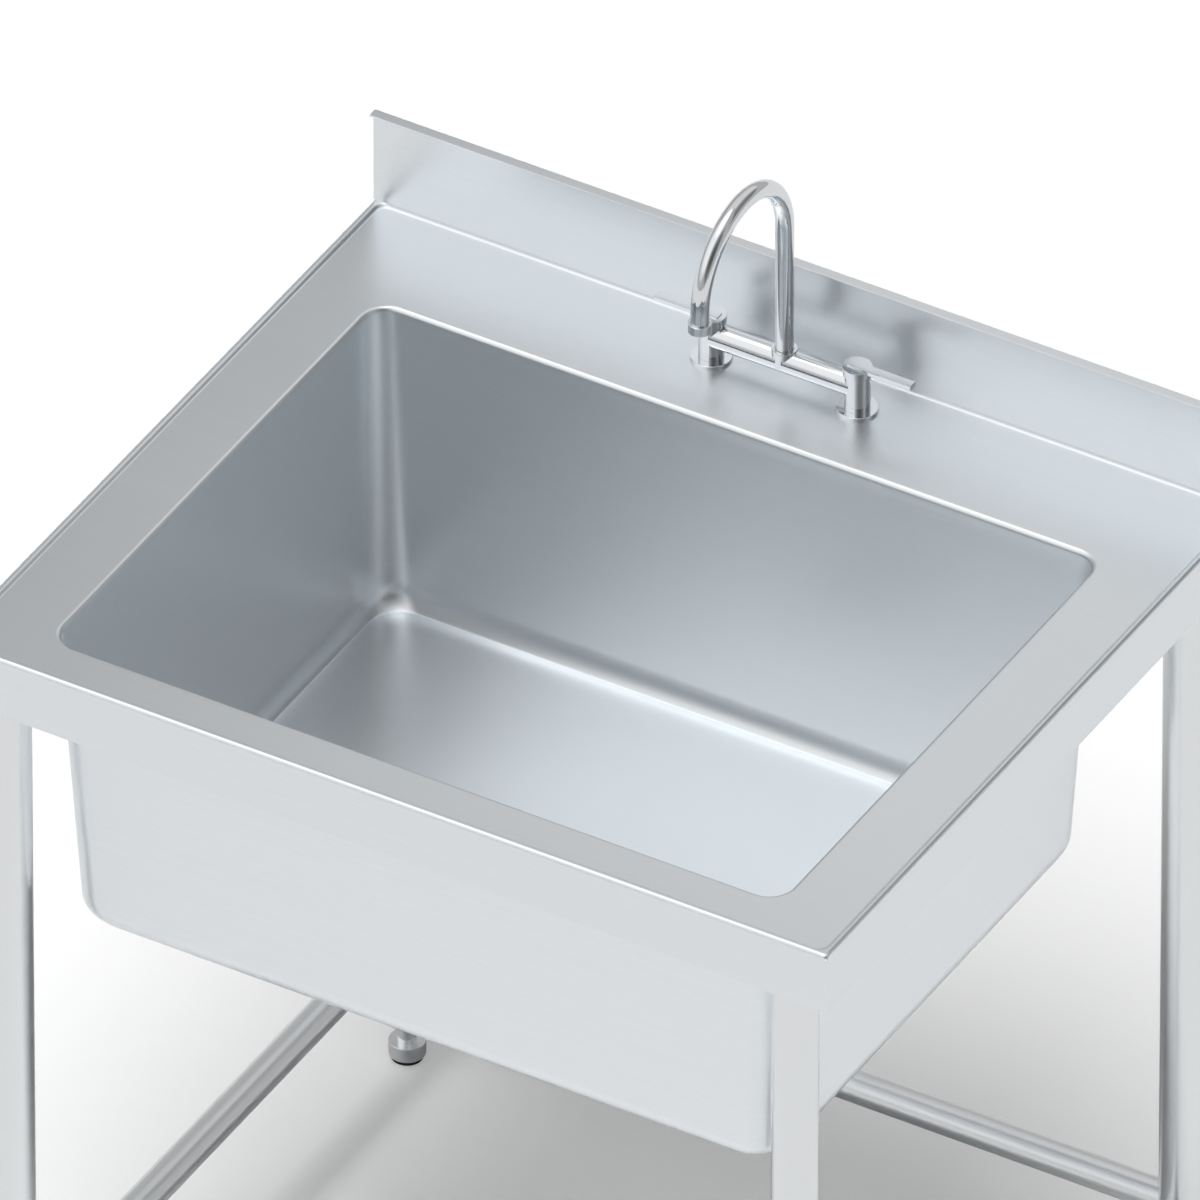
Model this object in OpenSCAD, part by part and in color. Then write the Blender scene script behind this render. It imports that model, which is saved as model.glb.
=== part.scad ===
// Free-standing utility sink in stainless steel, with a bridge tap.
// The origin is on the floor, below the middle of the worktop. +Y points to the wall behind it.

/* [Worktop] */
// Width, side to side
worktop_w = 900; // [500:5:1300]
// Depth, from the front apron to the wall
worktop_d = 750; // [500:5:900]
// Height of the bead's crest above the floor
worktop_h = 935; // [700:5:1000]
// Sheet thickness of the worktop, the bowl and the channels
sheet_t = 1.5; // [1:0.1:1.8]
// Depth of the recessed pan below the crest of the bead
pan_drop = 3; // [2:0.1:3.8]
// Radius of the bead's outer shoulder
bead_out_r = 4; // [3:0.1:5]
// Width of the flat crest of the bead
crest_w = 0.3; // [0.2:0.1:2]
// Radius of the bead's inner shoulder
bead_in_r = 4; // [3:0.1:5]
// Radius where the bead runs out into the pan
bead_foot_r = 2.5; // [2:0.1:4]
// Corner radius of the bead, seen from above, at its outer shoulder
bead_corner_out_r = 4.5; // [2:0.5:8]
// Corner radius of the pan, seen from above
bead_corner_in_r = 12; // [8:0.5:20]
// Height of the aprons
apron_h = 62.5; // [60:0.5:90]
// Depth of the return flange at the foot of the aprons
apron_return = 5; // [3:0.5:6]

/* [Splashback] */
// Height above the crest of the bead
splash_h = 98; // [60:1:200]
// Thickness of the folded, doubled sheet
splash_t = 3.5; // [3:0.5:6]
// Depth of the top lip, front to back
lip_d = 10.5; // [8:0.5:16]
// Thickness of the top lip
lip_t = 1.8; // [1.5:0.1:3]
// Radius of the cove between the pan and the splashback
cove_r = 4; // [4:0.1:5]

/* [Bowl] */
// Width of the deck on each side of the opening
side_deck = 78.5; // [60:0.5:200]
// Width of the deck in front of the opening
front_deck = 52; // [42:0.5:100]
// Width of the deck behind the opening, up to the wall
rear_deck = 130; // [112:0.5:220]
// Depth, from the pan to the floor of the bowl
bowl_depth = 315.5; // [200:0.5:380]
// How far the walls lean in, from the rim to the floor
bowl_draft = 12.5; // [5:0.5:30]
// Radius of the rolled rim
rim_r = 5; // [3:0.5:5]
// Length of the straight skirt below the rolled rim
skirt_h = 3; // [2:0.5:6]
// Corner radius of the walls at the rim
bowl_corner_top_r = 24; // [22:1:60]
// Corner radius of the walls at the floor
bowl_corner_foot_r = 32; // [20.5:0.5:60]
// Radius between the walls and the floor
bowl_floor_r = 12; // [10:1:20]
// Corner radius of the floor's edge, seen from above
bowl_floor_corner_r = 33; // [10:0.5:60]
// Diameter of the pressed recess round the waste hole
recess_d = 122; // [116:1:140]
// Depth of that recess
recess_h = 2.5; // [2.5:0.5:6]
// Width of the recess's sloped edge
recess_slope = 3; // [1:0.5:6]
// Diameter of the waste hole
waste_hole_d = 90; // [90:0.5:92]

/* [Underframe] */
// Diameter of the leg tubes
leg_d = 42.4; // [38:0.1:45]
// Wall of the leg tubes
leg_wall = 1.5; // [1:0.1:2.5]
// Gap between the leg sockets and the bowl
leg_gap = 5.6; // [0.5:0.1:8]
// Distance from the front apron to the axes of the front legs
leg_inset_front = 28.1; // [28:0.1:60]
// Distance from the wall to the axes of the rear legs
leg_inset_rear = 30; // [28:0.5:60]
// Height of the lower ends of the leg tubes above the floor
leg_foot_z = 45; // [40:1:80]
// Diameter of the rail tubes
rail_d = 31; // [20:0.5:36]
// Wall of the rail tubes
rail_wall = 1.5; // [1:0.1:2.5]
// Height of the rail axes above the floor
rail_z = 151; // [100:1:400]
// Width of the side channels
channel_w = 40; // [30:1:40]
// Width of the front channel
front_channel_w = 28; // [20:1:30]
// Gap in front of the rear channel and behind it
rear_channel_gap = 9.5; // [4:0.5:18]
// Depth of all channels
channel_h = 25; // [15:1:27]
// Wall of the leg sockets
socket_wall = 2; // [1.5:0.1:2.5]
// Thickness of the leg sockets' top plates
socket_plate_t = 3; // [2:0.5:4]
// Depth of the leg sockets
socket_depth = 24; // [18:1:24]
// Diameter of the grub screws in the leg sockets
leg_screw_d = 6; // [4:0.5:8]
// Size across flats of the grub screws' hexagon recess
leg_screw_hex = 3; // [2:0.5:4]

/* [Feet] */
// Diameter of the foot stems
stem_d = 20; // [12:0.5:24]
// Diameter of the metal foot cups
foot_cup_d = 34.4; // [30:0.1:40]
// Height of the metal foot cups
foot_cup_h = 15.4; // [10:0.1:18]
// Diameter of the rubber pads
pad_d = 29.5; // [20:0.5:30]
// Height of the rubber pads below the cups
pad_h = 5; // [3:0.5:8]
// Depth of the rubber pads inside the cups
pad_seat = 3; // [2:0.5:5]
// Length of the bushes in the legs
insert_l = 30; // [20:1:45]
// How far each foot screws out
foot_travel = 25; // [0:1:30]

/* [Waste] */
// Diameter of the strainer's flange
strainer_flange_d = 112; // [106:1:114]
// Thickness of the strainer's flange
strainer_flange_t = 2; // [1.5:0.1:2.5]
// Diameter of the strainer's threaded neck
neck_d = 88; // [86:0.5:88]
// Wall of the strainer body
neck_wall = 2; // [1.5:0.1:3]
// Inside depth of the strainer body
neck_h = 44; // [40:1:60]
// Diameter of the outlet stub
outlet_d = 47.8; // [44:0.1:50]
// Bore of the outlet stub
outlet_bore = 40; // [34:0.5:41]
// Length of the outlet stub
outlet_h = 32; // [26:1:45]
// Thickness of the rubber gasket under the bowl
waste_gasket_t = 3; // [2:0.5:5]
// Thickness of the washer under the gasket
waste_washer_t = 1; // [1:0.5:2]
// Diameter of the lock nut
locknut_d = 108; // [100:1:112]
// Height of the lock nut
locknut_h = 9; // [6:1:12]
// Number of lugs on the lock nut
locknut_lugs = 8; // [4:1:12]
// Width of each lug
lug_w = 9; // [6:0.5:12]
// How far the lugs stand out
lug_h = 4; // [2:0.5:6]
// Diameter of the strainer basket
basket_d = 80; // [70:0.5:82]
// Height of the strainer basket
basket_h = 28; // [20:1:32]
// Wall of the strainer basket
basket_wall = 1.2; // [0.8:0.1:2]
// Width of the basket's turned-out lip
basket_lip = 1.5; // [1:0.1:1.6]
// Diameter of the basket's drain holes
basket_hole_d = 5; // [3:0.5:6]
// Number of drain holes in the outer ring of the basket's floor
basket_holes = 20; // [12:1:24]
// Diameter of the basket's post
post_d = 9; // [7:0.5:12]
// Diameter of the knob on the post
knob_d = 18; // [14:0.5:24]
// Height of the knob
knob_h = 7; // [5:0.5:10]
// Diameter of the rubber stopper under the basket
stopper_d = 52; // [48:1:60]
// Thickness of the rubber stopper
stopper_t = 6; // [4:0.5:8]
// How far the basket lifts off its seat
basket_travel = 12; // [0:1:15]
// Diameter of the tailpiece
tailpiece_d = 38.1; // [32:0.1:39]
// Wall of the tailpiece
tailpiece_wall = 1.2; // [1:0.1:2]
// Length of the tailpiece
tailpiece_l = 100; // [80:5:200]
// Length of the tailpiece's end that goes into a pipe socket, up to its groove
tailpiece_grip = 60; // [30:5:60]
// Thickness of the tailpiece's flange
tailpiece_flange_t = 2; // [1:0.5:3]
// Thickness of the washer above the tailpiece
tailpiece_washer_t = 1.5; // [1:0.5:3]
// Diameter of the coupling nut
coupling_d = 58; // [54:1:66]
// Height of the coupling nut
coupling_h = 20; // [16:1:24]
// Thickness of the coupling nut's lower lip
coupling_lip_t = 2.5; // [2:0.5:4]
// Number of grip ribs round the coupling nut
coupling_ribs = 12; // [8:1:16]
// Diameter of each grip rib
coupling_rib_d = 5; // [4:0.5:6]

/* [Tap body] */
// Distance between the two inlets
tap_centres = 150; // [120:1:200]
// Distance from the wall to the tap's axis
tap_inset = 49; // [47:1:52]
// Diameter of the tap holes in the worktop
tap_hole_d = 22; // [22:0.5:24]
// Diameter of the cover flanges
tap_flange_d = 38.7; // [32:0.1:42]
// Height of the cover flanges
tap_flange_t = 3; // [2.5:0.1:6]
// Diameter of the pillars
pillar_d = 24; // [23:0.1:28]
// Height of the pillars' tops above the worktop
pillar_top = 39.5; // [38.5:0.1:60]
// Diameter of the bridge tube
bridge_d = 23.6; // [16:0.1:23.8]
// Height of the bridge tube's axis above the worktop
bridge_h = 26; // [25:0.5:27]
// Bore of the bridge tube
bridge_bore = 10; // [6:0.5:12]
// Diameter of the boss under the spout
boss_d = 22.4; // [20:0.1:28]
// Height of the boss's top above the worktop
boss_top = 39.3; // [39:0.1:50]
// Thickness of the gaskets in the cover flanges
tap_gasket_t = 1; // [0.5:0.1:1.5]
// Width of metal round those gaskets
tap_gasket_margin = 1.5; // [1:0.5:3]
// Thread diameter of the inlet shanks
shank_d = 20.95; // [18:0.05:21]
// Bore of the inlet shanks
shank_bore = 12; // [8:0.5:15]
// Length of the inlet shanks below the pan
shank_drop = 48; // [35:1:60]
// Length of the shanks' ends that take the hose nuts, up to their groove
shank_grip = 30; // [15:1:32]
// How far the inlet shanks screw into the pillars
shank_engage = 9; // [5:0.5:9]
// Thickness of the rubber washers below the worktop
tap_washer_t = 2; // [1:0.5:4]
// Diameter of the rubber washers below the worktop
tap_washer_d = 34; // [30:1:38]
// Size across flats of the tap nuts
tap_nut_af = 30; // [27:0.5:32]
// Height of the tap nuts
tap_nut_h = 8; // [5:0.5:12]

/* [Tap valves and levers] */
// Diameter of the valve cartridges
cartridge_d = 17.8; // [14:0.1:18]
// Height of the valve cartridges
cartridge_h = 21; // [15:0.5:22]
// Diameter of the valve spindles
spindle_d = 8; // [6:0.5:9]
// Length of the valve spindles inside the cartridges
spindle_seat = 16; // [8:0.5:18]
// Diameter of the water ports in the cartridges
port_d = 6; // [4:0.5:8]
// Diameter of the lever hubs
hub_d = 27.4; // [24:0.1:32]
// Height of the lever hubs
hub_h = 8; // [8:0.1:12]
// Thickness of metal left above the spindles in the hubs
hub_roof = 2.5; // [2:0.1:4]
// Width of the levers
lever_w = 9.5; // [6:0.1:12]
// Thickness of the levers
lever_t = 4.5; // [3:0.1:6]
// How far the levers stand above the hubs
lever_proud = 1; // [0.5:0.1:2]
// Reach of the levers from the hub's axis
lever_reach = 57; // [40:1:80]
// Length of the levers on the other side of the axis
lever_tail = 8; // [4:0.5:12]
// Size of the chamfers along the levers
lever_chamfer = 0.5; // [0.2:0.1:1]

/* [Spout] */
// Diameter of the spout tube
spout_d = 17; // [15.5:0.1:20]
// Wall of the spout tube
spout_wall = 1.5; // [1:0.1:2]
// Radius of the gooseneck
bend_r = 74.75; // [60:0.25:90]
// Height of the gooseneck's centre above the worktop
arc_h = 175.6; // [120:0.1:220]
// Length from the gooseneck down to the outlet
spout_drop = 19; // [14:0.5:40]
// Diameter of the spigot in the boss
spigot_d = 15; // [13:0.1:15.5]
// Length of the spigot
spigot_l = 14; // [14:0.1:15]
// Thickness of the O-rings
oring_t = 1.3; // [1:0.1:1.4]
// Depth of the first groove below the boss's top
groove_upper = 1.8; // [1.5:0.1:2]
// Depth of the second groove below the boss's top
groove_lower = 6.9; // [6:0.1:7]
// Diameter of the grub screw that holds the spout
spout_screw_d = 3; // [2:0.1:3]
// Diameter of the aerator housing
aerator_d = 21.5; // [20:0.1:24]
// Height of the aerator housing
aerator_h = 9.5; // [8:0.1:14]
// Width of the lip at the outlet
aerator_lip = 1.2; // [0.8:0.1:2]
// Thickness of the perforated disc
aerator_disc_t = 3; // [2:0.5:4]
// Diameter of the holes in the perforated disc
aerator_hole_d = 1.8; // [1:0.1:2.2]
// Number of holes in the outer ring of the perforated disc
aerator_holes = 12; // [6:1:14]

/* [Detail] */
// Width of the grooves that mark how far a pipe or a nut goes on
mark_w = 1; // [0.5:0.1:1.5]
// Depth of those grooves
mark_depth = 0.4; // [0.2:0.1:0.5]
// Chamfer of the turned parts' edges
turned_edge = 0.6; // [0.2:0.1:1]
// Steps of each rounded corner of the worktop and the bowl
corner_steps = 8; // [4:1:12]
// Steps of each arc in their cross-sections
arc_steps = 5; // [3:1:8]
// Steps of the arc between the walls and the floor of the bowl
floor_steps = 10; // [4:1:16]

/* [Hidden] */
$fn = 96;

// Sides of the object: left and front are negative
left = -1;
right = 1;
front = -1;
rear = 1;
// How far every cut runs past the solid it cuts
cut_over = 1;
// Gap between parts that slide or turn on each other
running_gap = 0.05;
// Gap between fixed parts that slip together
slip_gap = 0.1;
// Gap between faces that turn over each other
turn_gap = 0.3;
// Corner radius of a sharp fold
fold_r = 0.5;
// How much closer to the wall the hidden folds behind the cove are drawn than those at the sides
back_fold_share = 0.5;
quarter = 90;

half_w = worktop_w / 2;
half_d = worktop_d / 2;
pan_z = worktop_h - pan_drop;
deck_under_z = pan_z - sheet_t;
splash_face_y = half_d - splash_t;
bead_turn = acos(1 - pan_drop / (bead_in_r + bead_foot_r));
bead_in_s = bead_out_r + crest_w;
bead_foot_s = bead_in_s + (bead_in_r + bead_foot_r) * sin(bead_turn);

bowl_half_w = half_w - side_deck;
bowl_front_y = front_deck - half_d;
bowl_rear_y = half_d - rear_deck;
bowl_y = (bowl_front_y + bowl_rear_y) / 2;
bowl_floor_z = pan_z - bowl_depth;
skirt_z = pan_z - rim_r - skirt_h;
draft_angle = atan(bowl_draft / (skirt_z - bowl_floor_z));
recess_z = bowl_floor_z - recess_h;
waste_under_z = recess_z - sheet_t;

socket_d = leg_d + 2 * (slip_gap + socket_wall);
leg_x = bowl_half_w + sheet_t + leg_gap + socket_d / 2;
front_leg_y = leg_inset_front - half_d;
rear_leg_y = half_d - leg_inset_rear;
channel_z = deck_under_z - channel_h;
leg_top_z = channel_z - socket_plate_t;
leg_screw_z = leg_top_z - socket_depth / 2;
side_channel_x = leg_x - channel_w / 2;

cup_z = pad_h;
cup_top_z = cup_z + foot_cup_h;
stem_top_z = leg_foot_z + insert_l + foot_travel;
insert_d = leg_d - 2 * (leg_wall + slip_gap);

neck_z = recess_z - neck_h;
outlet_z = neck_z - neck_wall - outlet_h;
neck_bore = neck_d - 2 * neck_wall;
locknut_z = waste_under_z - waste_gasket_t - waste_washer_t - locknut_h;
stopper_z = neck_z + turn_gap;
basket_z = stopper_z + stopper_t;
coupling_bore = outlet_d + 2 * slip_gap;
tailpiece_top_z = outlet_z - tailpiece_washer_t;
tailpiece_flange_z = tailpiece_top_z - tailpiece_flange_t;
coupling_z = tailpiece_flange_z - coupling_lip_t;

tap_y = half_d - tap_inset;
shank_top = tap_flange_t + shank_engage;
shank_socket_d = shank_d + 2 * slip_gap;
tap_washer_z = -sheet_t - tap_washer_t;
cartridge_floor = shank_top + shank_engage / 2;
cartridge_bore = cartridge_d + 2 * slip_gap;
cartridge_z = cartridge_floor + slip_gap;
spindle_bore = spindle_d + 2 * running_gap;
spindle_z = cartridge_z + cartridge_h - spindle_seat;
hub_z = pillar_top + turn_gap;
hub_top = hub_z + hub_h;
lever_z = hub_top + lever_proud - lever_t;
spindle_top = hub_top - hub_roof;

spigot_bore = spigot_d + 2 * running_gap;
groove_d = spigot_d - 2 * oring_t - 2 * running_gap;
oring_ring_r = (groove_d + oring_t) / 2 + running_gap;
groove_h = oring_t + 2 * running_gap;
spout_bore = spout_d - 2 * spout_wall;
spigot_way = groove_d - 2 * spout_wall;
spout_shoulder = boss_top + turn_gap;
aerator_bore = spout_d + 2 * slip_gap;
spout_screw_h = boss_top - (groove_upper + groove_lower) / 2;

// One rounded corner about [x, y], from angle a0, rising from z0 to z1
function corner(x, y, r, a0, z0, z1) = [
    for (i = [0 : corner_steps])
        let (share = i / corner_steps, a = a0 + quarter * share)
        [x + r * cos(a), y + r * sin(a), z0 + (z1 - z0) * share]
];

// Ring of points, counter-clockwise from the front left: a rounded rectangle from y0 to y1, with its
// own corner radii at the front and the back, and with its back edge at a height of its own
function ring(half, y0, y1, z, r_front, r_back, z_back) = concat(
    corner(r_front - half, y0 + r_front, r_front, 2 * quarter, z, z),
    corner(half - r_front, y0 + r_front, r_front, 3 * quarter, z, z),
    corner(half - r_back, y1 - r_back, r_back, 0, z, z_back),
    corner(r_back - half, y1 - r_back, r_back, quarter, z_back, z)
);
ring_n = 4 * (corner_steps + 1);

// Skin between ring a and ring b, both counted along one list of points
function band(a, b) = [
    for (i = [0 : ring_n - 1])
        let (j = (i + 1) % ring_n, a0 = a * ring_n, b0 = b * ring_n)
        each [[a0 + i, b0 + i, b0 + j], [a0 + i, b0 + j, a0 + j]]
];

// Solid skinned over a list of rings that returns to its start, as a bent sheet with an opening
module closed_loft(rings) {
    n = len(rings);
    polyhedron(
        points = [for (points = rings) each points],
        faces = [for (k = [0 : n - 1]) each band(k, (k + 1) % n)]
    );
}

// Solid skinned over a list of rings and closed by its first and last ring, as a cup
module capped_loft(rings) {
    n = len(rings);
    polyhedron(
        points = [for (points = rings) each points],
        faces = concat(
            [[for (i = [0 : ring_n - 1]) i]],
            [for (k = [0 : n - 2]) each band(k, k + 1)],
            [[for (i = [ring_n - 1 : -1 : 0]) (n - 1) * ring_n + i]]
        )
    );
}

// Angles from a0 to a1 in equal steps
function sweep(a0, a1, steps = arc_steps) = [for (i = [0 : steps]) a0 + (a1 - a0) * i / steps];

// Cross-section of the bead, as [distance in from the apron, height from the crest]
bead_shoulder = [
    for (a = sweep(0, quarter)) [bead_out_r * (1 - cos(a)), bead_out_r * (sin(a) - 1)]
];
bead_slope = concat(
    [for (a = sweep(0, bead_turn)) [bead_in_s + bead_in_r * sin(a), bead_in_r * (cos(a) - 1)]],
    [
        for (a = sweep(bead_turn, 0)) if (a < bead_turn)
            [bead_foot_s - bead_foot_r * sin(a), bead_foot_r * (1 - cos(a)) - pan_drop]
    ]
);
under_foot_r = bead_foot_r + sheet_t;
under_in_r = bead_in_r - sheet_t;
under_out_r = bead_out_r - sheet_t;
bead_under = concat(
    [
        for (a = sweep(0, bead_turn)) if (a < bead_turn)
            [bead_foot_s - under_foot_r * sin(a), bead_foot_r - pan_drop - under_foot_r * cos(a)]
    ],
    [for (a = sweep(bead_turn, 0)) [bead_in_s + under_in_r * sin(a), under_in_r * cos(a) - bead_in_r]],
    [for (a = sweep(quarter, 0)) [bead_out_r - under_out_r * cos(a), under_out_r * sin(a) - bead_out_r]]
);

function bead_corner_r(s) =
    bead_corner_out_r + (bead_corner_in_r - bead_corner_out_r) * s / bead_foot_s;

// Where the cove behind the pan is at a height measured from the crest
function cove_y(h) =
    splash_face_y - cove_r + sqrt(max(0, cove_r ^ 2 - (cove_r - pan_drop - h) ^ 2));

// Rings of the worktop: aprons, the outside and the inside of the bead, and the bead from below
function apron_ring(s, z) = ring(half_w - s, s - half_d, half_d - s, z, fold_r, fold_r, z);
function shoulder_ring(p) = ring(
    half_w - p.x, p.x - half_d, half_d, worktop_h + p.y, bead_corner_r(p.x), fold_r, worktop_h + p.y
);
function slope_ring(p) = ring(
    half_w - p.x, p.x - half_d, cove_y(p.y), worktop_h + p.y,
    bead_corner_r(p.x), bead_corner_r(p.x), worktop_h + p.y
);
function under_ring(p) = ring(
    half_w - p.x, p.x - half_d, half_d - sheet_t - (p.x - sheet_t) * back_fold_share,
    worktop_h + p.y, bead_corner_r(p.x), bead_corner_r(p.x), deck_under_z
);

// Ring round the bowl: as wide as its opening and inset by s, with its own corner radius
function bowl_ring(s, z, r) =
    ring(bowl_half_w - s, bowl_front_y + s, bowl_rear_y - s, z, r, r, z);

// Rolled rim about a centre outside the opening, with the radius r of the surface that is drawn
function rim_ring(a, r) = bowl_ring(
    r * sin(a) - rim_r, pan_z - rim_r + r * cos(a), bowl_corner_top_r + rim_r - r * sin(a)
);

module tap_holes() {
    for (side = [left, right])
        translate([side * tap_centres / 2, tap_y, deck_under_z - cut_over])
            cylinder(d = tap_hole_d, h = sheet_t + 2 * cut_over);
}

module worktop() {
    rings = concat(
        [apron_ring(0, worktop_h - apron_h), apron_ring(0, worktop_h - bead_out_r - fold_r)],
        [for (p = bead_shoulder) shoulder_ring(p)],
        [for (p = bead_slope) slope_ring(p)],
        [for (a = sweep(0, quarter)) rim_ring(a, rim_r)],
        [
            bowl_ring(0, skirt_z, bowl_corner_top_r),
            bowl_ring(-sheet_t, skirt_z, bowl_corner_top_r + sheet_t)
        ],
        [for (a = sweep(quarter, 0)) rim_ring(a, rim_r - sheet_t)],
        [for (p = bead_under) under_ring(p)],
        [
            apron_ring(sheet_t, worktop_h - apron_h + sheet_t),
            apron_ring(apron_return, worktop_h - apron_h + sheet_t),
            apron_ring(apron_return, worktop_h - apron_h)
        ]
    );
    color("gainsboro") difference() {
        closed_loft(rings);
        tap_holes();
    }
}

// Upstand with its lip, drawn as a profile in Y and Z and run along X
module splashback() {
    back = half_d;
    top = worktop_h + splash_h;
    profile = [
        [splash_face_y, worktop_h],
        [back, worktop_h],
        [back, top],
        [back - lip_d, top],
        [back - lip_d, top - lip_t],
        [splash_face_y, top - lip_t]
    ];
    color("gainsboro") translate([-half_w, 0, 0])
        rotate([quarter, 0, quarter])
        linear_extrude(worktop_w) polygon(profile);
}

// Wall of the bowl at a height, as an inset from the opening
function wall_inset(z) = (skirt_z - z) * tan(draft_angle);
function wall_corner_r(z) = bowl_corner_top_r
    + (bowl_corner_foot_r - bowl_corner_top_r) * wall_inset(z) / bowl_draft;
fillet_z = bowl_floor_z + bowl_floor_r;
fillet_s = wall_inset(fillet_z) + bowl_floor_r / cos(draft_angle);
function fillet_corner_r(a) = wall_corner_r(fillet_z)
    + (bowl_floor_corner_r - wall_corner_r(fillet_z)) * (1 - cos(a) / cos(draft_angle));

// Ring on the floor fillet, with the radius r of the surface that is drawn
function fillet_ring(a, r) = bowl_ring(
    fillet_s - r * cos(a), fillet_z - r * sin(a), fillet_corner_r(a) + (r - bowl_floor_r) * cos(a)
);

// Ring of the round recess: a rounded square whose straight sides are only as long as a sharp fold
function recess_ring(d, z) = ring(d / 2, bowl_y - d / 2, bowl_y + d / 2, z, (d - fold_r) / 2, (d - fold_r) / 2, z);

module bowl() {
    outer_r = bowl_floor_r + sheet_t;
    floor_d = recess_d - 2 * recess_slope;
    rings = concat(
        [
            recess_ring(floor_d, waste_under_z),
            recess_ring(recess_d, bowl_floor_z - sheet_t)
        ],
        [for (a = sweep(quarter, draft_angle, floor_steps)) fillet_ring(a, outer_r)],
        [
            bowl_ring(-sheet_t, skirt_z, bowl_corner_top_r + sheet_t),
            bowl_ring(0, skirt_z, bowl_corner_top_r)
        ],
        [for (a = sweep(draft_angle, quarter, floor_steps)) fillet_ring(a, bowl_floor_r)],
        [
            recess_ring(recess_d, bowl_floor_z),
            recess_ring(floor_d, recess_z)
        ]
    );
    color("silver") difference() {
        capped_loft(rings);
        translate([0, bowl_y, waste_under_z - cut_over])
            cylinder(d = waste_hole_d, h = sheet_t + 2 * cut_over);
    }
}

// Folded channel, open below, run along +X from the origin
module channel(length, width) {
    profile = [
        [-width / 2, -channel_h],
        [sheet_t - width / 2, -channel_h],
        [sheet_t - width / 2, -sheet_t],
        [width / 2 - sheet_t, -sheet_t],
        [width / 2 - sheet_t, -channel_h],
        [width / 2, -channel_h],
        [width / 2, 0],
        [-width / 2, 0]
    ];
    color("silver") rotate([quarter, 0, quarter]) linear_extrude(length) polygon(profile);
}

channel_ends = bead_foot_s + fold_r;

module side_channel(side) {
    translate([side * leg_x, channel_ends - half_d, deck_under_z])
        rotate([0, 0, quarter])
        channel(worktop_d - 2 * channel_ends, channel_w);
}

module cross_channel(y, width) {
    translate([-side_channel_x, y, deck_under_z]) channel(2 * side_channel_x, width);
}

module channel_front() {
    cross_channel(channel_ends - half_d + front_channel_w / 2, front_channel_w);
}

// Between the bowl's rim and the tap's washers
module channel_rear() {
    room_front = bowl_rear_y + rim_r;
    room_rear = tap_y - tap_washer_d / 2;
    cross_channel((room_front + room_rear) / 2, room_rear - room_front - 2 * rear_channel_gap);
}

function leg_y(end) = end == front ? front_leg_y : rear_leg_y;

module at_leg(side, end, z) {
    translate([side * leg_x, leg_y(end), z]) children();
}

// Cup under a side channel, with the leg tube inside and a tapped hole on its inner side
module leg_socket(side, end) {
    color("silver") at_leg(side, end, leg_top_z - socket_depth) difference() {
        cylinder(d = socket_d, h = socket_depth + socket_plate_t);
        translate([0, 0, -cut_over])
            cylinder(d = leg_d + 2 * slip_gap, h = socket_depth + cut_over);
        translate([0, 0, socket_depth / 2]) rotate([0, -side * quarter, 0])
            cylinder(d = leg_screw_d, h = socket_d);
    }
}

module leg_setscrews() {
    length = socket_wall;
    color("dimgray") for (side = [left, right], end = [front, rear])
        at_leg(side, end, leg_screw_z) rotate([0, -side * quarter, 0])
            translate([0, 0, leg_d / 2 + slip_gap]) difference() {
                cylinder(d = leg_screw_d - 2 * running_gap, h = length);
                translate([0, 0, length / 2])
                    cylinder(d = leg_screw_hex, h = length, $fn = 6);
            }
}

// Upright cylinder with a chamfered top edge
module turned(d, h) {
    r = d / 2;
    rotate_extrude() polygon([[0, 0], [r, 0], [r, h - turned_edge], [r - turned_edge, h], [0, h]]);
}

module tube(d, wall, h) {
    difference() {
        cylinder(d = d, h = h);
        translate([0, 0, -cut_over]) cylinder(d = d - 2 * wall, h = h + 2 * cut_over);
    }
}

module leg(side, end) {
    color("lightgray") at_leg(side, end, leg_foot_z) tube(leg_d, leg_wall, leg_top_z - leg_foot_z);
}

// Room that a rail's end leaves for the leg that it is welded to
module leg_room(side, end) {
    at_leg(side, end, rail_z - rail_d) cylinder(d = leg_d + 2 * running_gap, h = 2 * rail_d);
}

module side_rail(side) {
    color("lightgray") difference() {
        translate([side * leg_x, front_leg_y, rail_z]) rotate([-quarter, 0, 0])
            tube(rail_d, rail_wall, rear_leg_y - front_leg_y);
        for (end = [front, rear]) leg_room(side, end);
    }
}

module rail_rear() {
    color("lightgray") difference() {
        translate([-leg_x, rear_leg_y, rail_z]) rotate([0, quarter, 0])
            tube(rail_d, rail_wall, 2 * leg_x);
        for (side = [left, right]) leg_room(side, rear);
    }
}

// Bush in the lower end of a leg, bored for the foot's stem
module leg_insert(side, end) {
    color("gray") at_leg(side, end, leg_foot_z) difference() {
        cylinder(d = insert_d, h = insert_l);
        translate([0, 0, -cut_over])
            cylinder(d = stem_d + 2 * running_gap, h = insert_l + 2 * cut_over);
    }
}

// Metal cup with its stem, hollow below for the rubber pad
module foot(side, end) {
    seat_r = pad_d / 2 + slip_gap;
    cup_r = foot_cup_d / 2;
    stem_r = stem_d / 2;
    profile = [
        [0, cup_z + pad_seat],
        [seat_r, cup_z + pad_seat],
        [seat_r, cup_z],
        [cup_r - turned_edge, cup_z],
        [cup_r, cup_z + turned_edge],
        [cup_r, cup_top_z - turned_edge],
        [cup_r - turned_edge, cup_top_z],
        [stem_r, cup_top_z],
        [stem_r, stem_top_z - turned_edge],
        [stem_r - turned_edge, stem_top_z],
        [0, stem_top_z]
    ];
    color("silver") at_leg(side, end, 0) rotate_extrude() polygon(profile);
}

module foot_pad(side, end) {
    r = pad_d / 2;
    top = cup_z + pad_seat;
    profile = [[0, 0], [r - turned_edge, 0], [r, turned_edge], [r, top], [0, top]];
    color("black") at_leg(side, end, 0) rotate_extrude() polygon(profile);
}

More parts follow.
